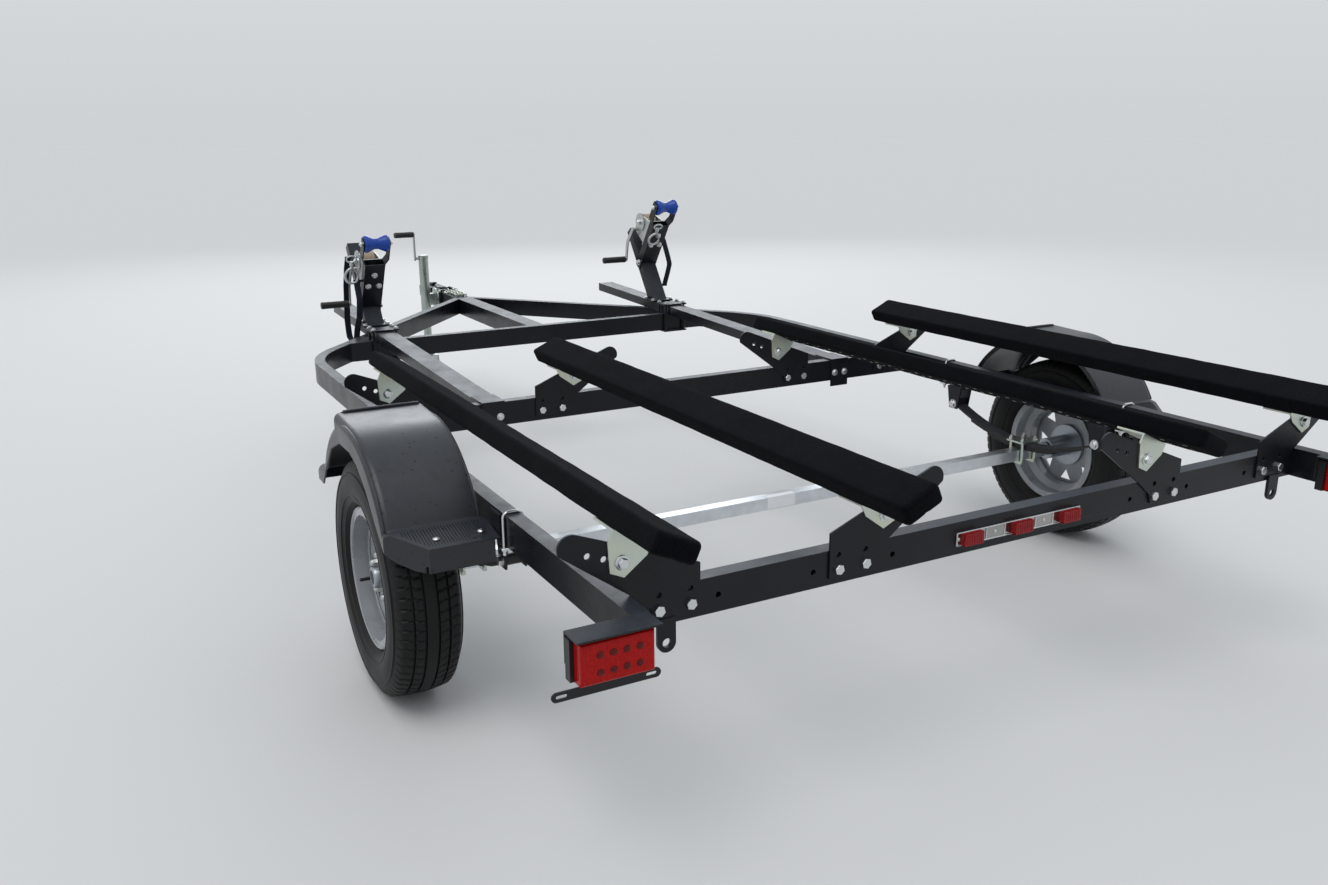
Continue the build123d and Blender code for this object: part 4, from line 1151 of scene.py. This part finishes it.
    def cap(self) -> None:
        """Rolled collar on the hub cap and the dark plug in its end."""
        low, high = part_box(f"hub_{self.side.word}")
        end = Vector((high.x if self.side is Side.RIGHT else low.x, self.middle.y, self.middle.z))
        rim = [
            (0.0185, -0.0012), (0.0262, 0.0), (0.0285, 0.004), (0.0290, 0.020), (0.0270, 0.0225), (0.0215, 0.006),
            (0.0185, 0.002),
        ]
        collar = Shaper()
        collar.turned(end, -self.outward, rim, 48, wrap=True)
        collar.piece(f"hub_collar_{self.side.word}", HUB_PAINT, self.body)
        plug = Shaper()
        plug.turned(end, self.outward, [(0.0183, -0.001), (0.0180, 0.0004), (0.0120, 0.0012), (0.0040, 0.0005)], 32)
        plug.piece(f"hub_plug_{self.side.word}", CASTER, self.body)


@dataclass
class FenderTrim:
    """Ribbed treads, rolled lips, bolts and U-bolts of one fender."""

    side: Side
    inner_x: float = 1.060
    outer_x: float = 1.290
    arch_y: float = 0.965
    arch_z: float = -0.115
    arch_r: float = 0.335
    arch_steps: int = 60
    rear_step: Pairs = ((0.563, 0.019), (0.668, 0.0403))
    front_step: Pairs = ((1.262, 0.0400), (1.335, 0.028))
    rib_pitch: float = 0.0072
    rib_r: float = 0.0012
    rear_ribs: Pair = (0.578, 0.654)
    front_ribs: Pair = (1.276, 1.324)
    rib_x: Pair = (0.012, 0.022)
    rib_end: float = 0.0004
    rib_ramp: float = 0.003
    rib_gap: float = 0.004
    shortest: float = 0.012
    corner_slant: float = 90 / 65
    bolt_x: Pair = (1.0797, 1.1863)
    bolt_y: Pair = (0.602, 1.300)
    step_t: float = 0.0124
    # (x, y, z) round the edge of the shelf at the arch's top
    shelf: tuple[Point, ...] = (
        (1.063, 1.092, 0.196), (1.063, 1.093, 0.214), (1.068, 1.094, 0.2245), (1.082, 1.094, 0.2275),
        (1.240, 1.094, 0.2275), (1.262, 1.094, 0.2240), (1.276, 1.093, 0.2130), (1.284, 1.091, 0.1960),
    )
    lip_r: float = 0.0042
    bead_in: float = 0.0015
    bead_r: float = 0.0032
    ridge_r: float = 0.0036
    ridge_in: float = 0.0058
    shelf_y: Pair = (1.020, 1.094)
    ridge_end: float = 1.080
    hoop_y: Pair = (0.549, 1.345)
    hoop_x: Pair = (1.0445, 0.9975)
    hoop_r: float = 0.004
    hoop_bend: float = 0.014
    hoop_end: float = -0.022

    def build(self) -> None:
        """Ribs, lips, then fasteners."""
        self.ribs()
        self.lips()
        self.fasteners()

    def place(self, x: float, y: float, z: float) -> Vector:
        """A place on this side."""
        return spot(self.side.value * x, y, z)

    def step_z(self, step: Pairs, y: float) -> float:
        """Height of a step's top at y."""
        (y0, z0), (y1, z1) = step
        return z0 + (z1 - z0) * (y - y0) / (y1 - y0)

    def ribs(self) -> None:
        """Fine ribs along both steps, cut short at the slanted rear corner."""
        shape = Shaper()
        ramp, end = self.rib_ramp, self.rib_end
        for step, (y0, y1) in ((self.rear_step, self.rear_ribs), (self.front_step, self.front_ribs)):
            x = self.inner_x + self.rib_x[0]
            while x < self.outer_x - self.rib_x[1]:
                slant = self.rear_step[1][0] - (self.outer_x - self.rib_x[0] - x) * self.corner_slant
                start = max(y0, slant + self.rib_gap) if step is self.rear_step else y0
                if y1 - start > self.shortest:
                    ends = [(start, end), (start + ramp, 0.0), (y1 - ramp, 0.0), (y1, end)]
                    path = [self.place(x, y, self.step_z(step, y) - drop) for y, drop in ends]
                    shape.tube(path, self.rib_r, 6)
                x += self.rib_pitch
        shape.piece(f"fender_ribs_{self.side.word}", FENDER)

    def arch(self, x: float, radius: float) -> list[Vector]:
        """Points over the wheel, from the rear step to the front one.

        Args:
            x: How far out they lie.
            radius: Their distance from the arch's middle.

        Returns:
            The points in order.
        """
        start = math.acos((self.rear_step[1][0] - self.arch_y) / self.arch_r)
        end = math.acos((self.front_step[0][0] - self.arch_y) / self.arch_r)
        turns = [start + (end - start) * i / self.arch_steps for i in range(self.arch_steps + 1)]
        return [
            self.place(x, self.arch_y + radius * math.cos(a), self.arch_z + radius * math.sin(a)) for a in turns
        ]

    def lips(self) -> None:
        """Rolled lip of the shelf, beads of the wheel opening and of the inner arch edge."""
        shape = Shaper()
        shape.tube(curve_through([self.place(*p) for p in self.shelf]), self.lip_r, 12)
        low, high = self.shelf_y
        edge = self.arch(self.inner_x, self.arch_r - self.bead_in)
        shape.tube([p for p in edge if not low < p.y - REAR_Y < high], self.bead_r, 10)
        ridge = self.arch(self.outer_x - self.ridge_in, self.arch_r - self.ridge_in)
        shape.tube([p for p in ridge if p.y - REAR_Y < self.ridge_end], self.ridge_r, 10)
        shape.piece(f"fender_lips_{self.side.word}", FENDER)

    def hoop(self, y: float) -> list[Vector]:
        """Path of a U-bolt over the rail.

        Args:
            y: Where it stands.

        Returns:
            Its points, from the outer end over the rail to the inner end.
        """
        out_x, in_x = self.hoop_x
        top, bend = TUBE_H + self.hoop_r, self.hoop_bend
        turns = [QUARTER_TURN * i / 6 for i in range(7)]
        turn = [(bend * (1 - math.cos(a)), top - bend * (1 - math.sin(a))) for a in turns]
        path = [(out_x, self.hoop_end), *((out_x - u, z) for u, z in turn)]
        path += [*((in_x + u, z) for u, z in reversed(turn)), (in_x, self.hoop_end)]
        return [self.place(x, y, z) for x, z in path]

    def fasteners(self) -> None:
        """Carriage bolts through the steps and a U-bolt over the rail at each arm."""
        domes = Shaper()
        for step, y in zip((self.rear_step, self.front_step), self.bolt_y):
            z = self.step_z(step, y)
            for x in self.bolt_x:
                domes.fastener(Fastener.DOME, self.place(x, y, z), UP, M12)
                domes.fastener(Fastener.NUT, self.place(x, y, z - self.step_t), DOWN, M8)
        domes.piece(f"fender_bolts_{self.side.word}", BOLT_ZINC)
        hoops = Shaper()
        for y in self.hoop_y:
            hoops.tube(self.hoop(y), self.hoop_r, 12)
            middle = self.place(sum(self.hoop_x) / 2, y, -0.0035)
            hoops.slab(middle, RIGHTWARD * 0.034, AHEAD * 0.014, UP * 0.003, 0.0008)
            for x in self.hoop_x:
                hoops.fastener(Fastener.NUT, self.place(x, y, -0.0065), DOWN, M8)
        hoops.piece(f"fender_u_bolts_{self.side.word}", BOLT_ZINC)


@dataclass
class FrameFasteners:
    """Bolts of the brackets, saddles, clamps, hangers and axle, and the axle's blank label."""

    brackets: tuple[tuple[float, int, float, float], ...] = ((0.850, 1, 0.170, 0.149), (0.540, -1, 0.137, 0.135))
    bolt_u: Pair = (0.022, 0.092)
    bolt_z: float = 0.034
    bolt_head: float = 0.0205
    washer: Pair = (0.030, 0.002)
    hanger_y: Pair = (0.6195, 1.2645)
    hanger_z: float = -0.062
    spring_x: float = 0.998
    spring_half: float = 0.0277
    u_bolt: Pair = (0.02925, 0.02605)
    u_nut: float = 0.016
    u_nut_drop: float = 0.0146
    clamp_x: float = 0.0471
    clamp_z: float = 0.1225
    clamp_y: Pair = (-0.013, 0.0511)
    stand_y: Pair = (2.968, 3.038)
    # (y, z) of a stand's base on the keel rail, how thick the base is, and how the rail rises
    stand_foot: Pair = (2.955, 0.1222)
    stand_t: float = 0.0032
    keel_rise: float = 0.0314
    stand_bolt: float = 0.015
    saddle_bolt: Pair = (0.022, 0.030)
    axle_half: float = 0.01905
    label_x: float = -0.0195
    label_half: float = 0.0495
    label_skin: float = 0.0003

    def build(self) -> None:
        """Each kind of fastener in one piece, then the label."""
        self.bracket_bolts()
        self.hanger_bolts()
        self.clamp_nuts()
        self.label()

    def bracket_bolts(self) -> None:
        """Bolts through the crossmembers and the saddles' pivots."""
        bolts = Shaper()
        pivots = Shaper()
        wide, thick = self.washer
        for y in (0.0, MID_CROSS_Y):
            for side in Side:
                for edge, way, pivot_u, pivot_z in self.brackets:
                    for u in self.bolt_u:
                        x = side.value * (edge + way * u)
                        bolts.fastener(Fastener.HEX, spot(x, y - PLATE_T, self.bolt_z), BEHIND, self.bolt_head)
                        bolts.fastener(Fastener.NUT, spot(x, y + CROSS_D, self.bolt_z), AHEAD, M12)
                    x = side.value * (edge + way * pivot_u)
                    pivots.fastener(Fastener.WASHER, spot(x, y - 2 * PLATE_T, pivot_z), BEHIND, wide)
                    pivots.fastener(Fastener.HEX, spot(x, y - 2 * PLATE_T - thick, pivot_z), BEHIND, M12)
                    pivots.fastener(Fastener.NUT, spot(x, y, pivot_z), AHEAD, M12)
        bolts.piece("bracket_bolts", BOLT_ZINC)
        pivots.piece("saddle_pivots", BOLT_ZINC)

    def hanger_bolts(self) -> None:
        """Heads and nuts of the spring bolts, and nuts on the axle's U-bolts."""
        shape = Shaper()
        low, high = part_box("axle_clamps")
        top = high.z - FRAME_Z - self.u_nut_drop
        axle_y = (low.y + high.y) / 2 - REAR_Y
        for side in Side:
            for y in self.hanger_y:
                for way in (-1, 1):
                    x = self.spring_x + way * self.spring_half
                    shape.bolt(spot(side.value * x, y, self.hanger_z), RIGHTWARD * side.value * way, M14)
            for p, q in ((-1, -1), (-1, 1), (1, -1), (1, 1)):
                x = side.value * (self.spring_x + p * self.u_bolt[0])
                shape.fastener(Fastener.NUT, spot(x, axle_y + q * self.u_bolt[1], top), UP, self.u_nut)
        shape.piece("spring_bolts", BOLT_ZINC)

    def clamp_nuts(self) -> None:
        """Nuts on the keel rails' clamps and bolts of the stands' bases and of the rails' saddles."""
        shape = Shaper()
        foot_y, foot_z = self.stand_foot
        saddle_x, saddle_z = self.saddle_bolt
        for side in Side:
            for way in (-1, 1):
                x = side.value * KEEL_X + way * self.clamp_x
                for y in self.clamp_y:
                    shape.fastener(Fastener.NUT, spot(x, FRONT_CROSS_Y + y, self.clamp_z), UP, M10)
                for y in self.stand_y:
                    z = foot_z + (y - foot_y) * self.keel_rise + self.stand_t
                    shape.bolt(spot(x, y, z), UP, self.stand_bolt)
            for x in (-saddle_x, saddle_x):
                shape.bolt(spot(side.value * KEEL_X + x, MID_CROSS_Y - PLATE_T, saddle_z), BEHIND, M10)
        shape.piece("clamp_nuts", BOLT_ZINC)

    def label(self) -> None:
        """A thin blank label folded over the axle's rear edge."""
        low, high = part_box("axle")
        half, skin = self.axle_half, self.label_skin
        middle_z = (low.z + high.z) / 2
        rear = (low.y + high.y) / 2 - half
        wide = RIGHTWARD * self.label_half
        shape = Shaper()
        shape.slab(Vector((self.label_x, rear - skin, middle_z + 0.001)), wide, AHEAD * skin, UP * (half - 0.001))
        shape.slab(Vector((self.label_x, rear + 0.010, middle_z + half + skin)), wide, AHEAD * 0.0105, UP * skin)
        shape.piece("axle_label", LABEL)


@dataclass
class Lamps:
    """Reflector domes of the tail lamps, and ribs and rivets of the identification lamps."""

    dot_x: tuple[float, ...] = (-0.036, -0.010, 0.016, 0.042)
    dot_z: tuple[float, ...] = (-0.017, 0.016)
    lens_width: float = 0.146
    id_pitch: float = 0.1524
    id_ribs: tuple[float, ...] = (-0.021, -0.014, -0.007, 0.0, 0.007, 0.014, 0.021)
    rivet_x: tuple[float, ...] = (-0.184, -0.076, 0.076, 0.184)
    edge_x: tuple[float, ...] = (-0.104, -0.048, 0.048, 0.104)
    edge_bead: float = 0.0016

    def build(self) -> None:
        """Tail lamps, then the bar between them."""
        low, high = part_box("tail_lenses")
        dots = Shaper()
        dome = [(0.0072, 0.0), (0.0070, 0.0008), (0.0056, 0.0016), (0.0024, 0.0021)]
        middle_z = (low.z + high.z) / 2
        for x in (low.x + self.lens_width / 2, high.x - self.lens_width / 2):
            for dx in self.dot_x:
                for dz in self.dot_z:
                    dots.turned(Vector((x + dx, low.y + 0.0002, middle_z + dz)), BEHIND, dome, 24)
        dots.piece("tail_lens_domes", LENS_DOME)
        self.identification()

    def identification(self) -> None:
        """Vertical ribs on the three small lenses, and rivets and raised edges on their bar; the edges take a
        lighter metal than the bar, as painted highlights.
        """
        low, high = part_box("id_lenses")
        ribs = Shaper()
        for x in (-self.id_pitch, 0.0, self.id_pitch):
            for dx in self.id_ribs:
                path = [Vector((x + dx, low.y, z)) for z in (low.z + 0.003, high.z - 0.003)]
                ribs.tube(path, 0.0012, 8)
        ribs.piece("id_lens_ribs", DARK_RED_LENS)
        rivets = Shaper()
        bar_low, bar_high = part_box("id_light_bar")
        for x in self.rivet_x:
            at = Vector((x, bar_low.y, (bar_low.z + bar_high.z) / 2))
            rivets.fastener(Fastener.DOME, at, BEHIND, 0.009)
        rivets.piece("id_bar_rivets", ZINC)
        # Painted highlight: the bar's raised edges get a lighter metal than the darkened bar itself.
        edges = Shaper()
        face = bar_low.y - 0.0006
        inset = self.edge_bead
        left, right = bar_low.x + inset, bar_high.x - inset
        bottom, top = bar_low.z + inset, bar_high.z - inset
        for z in (bottom, top):
            edges.tube([Vector((left, face, z)), Vector((right, face, z))], inset, 8)
        for x in (left, *self.edge_x, right):
            edges.tube([Vector((x, face, bottom)), Vector((x, face, top))], inset, 8)
        edges.piece("id_bar_highlight_edges", BOLT_ZINC)


@dataclass
class WinchStand:
    """Nuts, grip, hook and strap roll on one winch stand.

    The knee, the roller and the hook are (y, z) or (x, y, z) places from the keel rail's foot.
    """

    side: Side
    knee: Pair
    roller: Pair
    hook_at: tuple[float, float, float]
    hook_way: Pair
    drum: Pair = (0.165, -0.100)
    crank_end: Pair = (-0.052, -0.085)
    winch_bolts: Pairs = ((0.0, 0.180), (-0.022, 0.124), (0.022, 0.124))
    cheek_bolts: Pairs = ((0.120, -0.040), (0.205, -0.040))
    cheek_x: Pair = (0.036, -0.042)
    knee_half: float = 0.0417
    pin_half: float = 0.0555
    roll_half: float = 0.0277
    # radius of the roll's first layer, its pitch and its thickness
    layer: Point = (0.0225, 0.0026, 0.0021)
    grip_x: Pair = (-0.066, -0.184)
    grip_ribs: int = 9
    layers: int = 6
    hook_size: float = 1.35
    # (along, across) of the hook's bill and of its gate
    bill: Pairs = (
        (-0.037, 0.0), (-0.020, 0.001), (-0.010, -0.012), (0.006, -0.020), (0.024, -0.014), (0.031, 0.0),
        (0.026, 0.014), (0.012, 0.020),
    )
    gate: Pairs = ((0.013, 0.018), (0.000, 0.016), (-0.012, 0.008), (-0.018, 0.002))

    def build(self) -> None:
        """Set up the arm's own directions, then its pieces."""
        self.along = Vector((0.0, self.roller[0] - self.knee[0], self.roller[1] - self.knee[1])).normalized()
        self.out = RIGHTWARD.cross(self.along)
        self.length = math.hypot(self.roller[0] - self.knee[0], self.roller[1] - self.knee[1])
        self.nuts()
        self.grip()
        self.roll()
        self.hook()

    def place(self, x: float, s: float, n: float) -> Vector:
        """A place across, along and out from the arm."""
        return spot(self.side.value * KEEL_X + x, *self.knee) + self.along * s + self.out * n

    def nuts(self) -> None:
        """Winch bolts on the arm's back, the knee bolt, pin nuts and cheek bolts."""
        shape = Shaper()
        for x, s in self.winch_bolts:
            shape.fastener(Fastener.WASHER, self.place(x, s, 0.020), self.out, 0.026)
            shape.fastener(Fastener.NUT, self.place(x, s, 0.0215), self.out, M10)
        for way in (-1, 1):
            shape.bolt(self.place(way * self.knee_half, 0.0, 0.0), RIGHTWARD * way, M12)
            shape.fastener(Fastener.NUT, self.place(way * self.pin_half, self.length, 0.0), RIGHTWARD * way, M12)
        for s, n in self.cheek_bolts:
            shape.fastener(Fastener.HEX, self.place(self.cheek_x[0], s, n), RIGHTWARD, M8)
        for x, way in zip(self.cheek_x, (RIGHTWARD, LEFTWARD)):
            shape.fastener(Fastener.NUT, self.place(x, *self.drum), way, M14)
        shape.piece(f"stand_bolts_{self.side.word}", BOLT_ZINC)

    def grip(self) -> None:
        """Black ribbed sleeve on the crank's handle."""
        start, end = self.grip_x
        length = start - end
        profile = [(0.0132, 0.0), (0.0148, 0.002), (0.0152, 0.006)]
        for i in range(self.grip_ribs):
            at = 0.012 + (length - 0.024) * i / self.grip_ribs
            profile += [(0.0150, at), (0.0140, at + 0.003), (0.0150, at + 0.007)]
        profile += [(0.0152, length - 0.006), (0.0140, length - 0.001), (0.0100, length)]
        shape = Shaper()
        shape.turned(self.place(start, *self.crank_end), LEFTWARD, profile, 28)
        shape.piece(f"crank_grip_{self.side.word}", CASTER, sharp=50.0)

    def roll(self) -> None:
        """Layers of webbing that show at the roll's two ends."""
        shape = Shaper()
        first, pitch, thick = self.layer
        half = self.roll_half
        for i in range(self.layers):
            radius = first + i * pitch
            profile = [(radius, -half), (radius + thick, -half), (radius + thick, half), (radius, half)]
            shape.turned(self.place(0.0, *self.drum), RIGHTWARD, profile, 48, wrap=True)
        shape.piece(f"webbing_roll_{self.side.word}", ROLL_EDGE)

    def hook(self) -> None:
        """Snap hook of the strap: swivel eye, shank, bill and its spring gate."""
        way = Vector((0.0, *self.hook_way)).normalized()
        middle = spot(self.side.value * KEEL_X + self.hook_at[0], *self.hook_at[1:])
        swing = RIGHTWARD * self.hook_size
        along = -way * self.hook_size
        eye = [
            middle - along * 0.046 + along * 0.010 * math.cos(a) + swing * 0.015 * math.sin(a)
            for a in (FULL_TURN * i / 24 for i in range(24))
        ]
        shank = [(0.0075, 0.0), (0.0085, 0.004), (0.0080, 0.016), (0.0060, 0.020)]
        shape = Shaper()
        shape.tube(eye, 0.0036, 10, wrap=True)
        shape.turned(middle - along * 0.038, along, shank, 20)
        for line, radius, sides in ((self.bill, 0.0056, 12), (self.gate, 0.0026, 8)):
            shape.tube(curve_through([middle + along * s + swing * t for s, t in line]), radius, sides)
        shape.piece(f"snap_hook_{self.side.word}", WINCH_ZINC)


@dataclass
class Jack:
    """Grip, rings and bolts of the tongue jack, nuts of its caster and bolts of the coupler."""

    x: float = -0.110
    y: float = 4.158
    crank_z: float = 0.383
    grip_in: float = 0.045
    grip_length: float = 0.101
    ring_z: Pair = (0.257, -0.070)
    plate_x: float = 0.0441
    plate_y: float = 0.048
    plate_z: float = 0.007
    plate_bolt: float = 0.015
    caster_half: float = 0.0325
    coupler_y: Pair = (0.030, 0.085)
    coupler_z: float = 0.040

    def build(self) -> None:
        """What turns with the jack, what stays on the tongue and what the caster carries."""
        self.grip()
        self.mount_bolts()
        self.caster_nuts()
        self.coupler_bolts()

    def grip(self) -> None:
        """Black sleeve on the crank's handle, and the rings at the tube's two ends."""
        sleeve = Shaper()
        length = self.grip_length
        profile = [
            (0.0132, 0.0), (0.0146, 0.003), (0.0148, 0.020), (0.0142, 0.050), (0.0148, 0.080), (0.0146, 0.097),
            (0.0120, length + 0.001), (0.0050, length + 0.002),
        ]
        sleeve.turned(spot(self.x - self.grip_in, self.y, self.crank_z), LEFTWARD, profile, 28)
        sleeve.piece("jack_grip", CASTER, "jack", sharp=50.0)
        ring = Shaper()
        profile = [(0.0252, 0.0), (0.0268, 0.001), (0.0268, 0.014), (0.0252, 0.015)]
        for z in self.ring_z:
            ring.turned(spot(self.x, self.y, z), UP, profile, 40, wrap=True)
        ring.piece("jack_tube_rings", JACK_ZINC, "jack")

    def mount_bolts(self) -> None:
        """Bolt heads and nuts of the two clamp plates."""
        shape = Shaper()
        for y in (self.y - self.plate_y, self.y + self.plate_y):
            for z in (-self.plate_z, TUBE_H + self.plate_z):
                shape.bolt(spot(-self.plate_x, y, z), LEFTWARD, self.plate_bolt)
                shape.fastener(Fastener.NUT, spot(self.plate_x, y, z), RIGHTWARD, self.plate_bolt)
        shape.piece("jack_mount_bolts", BOLT_ZINC)

    def caster_nuts(self) -> None:
        """Nuts at both ends of the caster's axle."""
        low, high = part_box("caster_wheel")
        middle = (low + high) / 2
        shape = Shaper()
        for way in (-1, 1):
            shape.fastener(Fastener.NUT, middle + RIGHTWARD * way * self.caster_half, RIGHTWARD * way, M12)
        shape.piece("caster_nuts", ZINC, "caster")

    def coupler_bolts(self) -> None:
        """Heads at both ends of the coupler's two cross bolts."""
        low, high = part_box("coupler")
        shape = Shaper()
        for y in self.coupler_y:
            for way in (-1, 1):
                at = Vector((way * high.x, low.y + y, FRAME_Z + self.coupler_z))
                shape.bolt(at, RIGHTWARD * way, M12)
        shape.piece("coupler_bolts", BOLT_ZINC)


@dataclass
class ChainHooks:
    """Open hooks on the free ends of the two safety chains."""

    x: float = 0.014
    wire: float = 0.0035
    spread: float = 0.7
    path: tuple[Point, ...] = (
        (0.000, -0.004, 0.000), (0.004, 0.004, 0.001), (0.012, 0.004, -0.002), (0.022, -0.004, -0.005),
        (0.030, -0.018, -0.006), (0.026, -0.034, -0.0065), (0.016, -0.038, -0.0065), (0.010, -0.030, -0.0065),
    )

    def build(self) -> None:
        """One S-shaped hook a chain, lying on the tongue."""
        low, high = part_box("safety_chains")
        shape = Shaper()
        for way in (-1, 1):
            end = Vector((way * self.x, high.y - 0.010, (low.z + high.z) / 2))
            points = [end + Vector((way * x * self.spread, y, z)) for x, y, z in self.path]
            shape.tube(curve_through(points), self.wire, 10)
        shape.piece("chain_hooks", ZINC)


def build_all() -> list[object]:
    """Every sub-assembly in the order that it is dressed.

    Returns:
        The sub-assemblies, ready to build.
    """
    return [
        Studio(),
        CadDressing(),
        Bunks(),
        *(RoadWheel(side) for side in Side),
        *(FenderTrim(side) for side in Side),
        FrameFasteners(),
        Lamps(),
        WinchStand(Side.LEFT, (3.053, 0.194), (2.878, 0.471), (-0.085, 2.975, 0.345), (-0.25, 1.0)),
        WinchStand(Side.RIGHT, (3.120, 0.290), (2.928, 0.560), (-0.030, 2.978, 0.420), (-0.58, 0.815)),
        Jack(),
        ChainHooks(),
    ]


def main() -> None:
    """Build the studio and every sub-assembly."""
    for part in build_all():
        part.build()


if __name__ == "__main__":
    main()
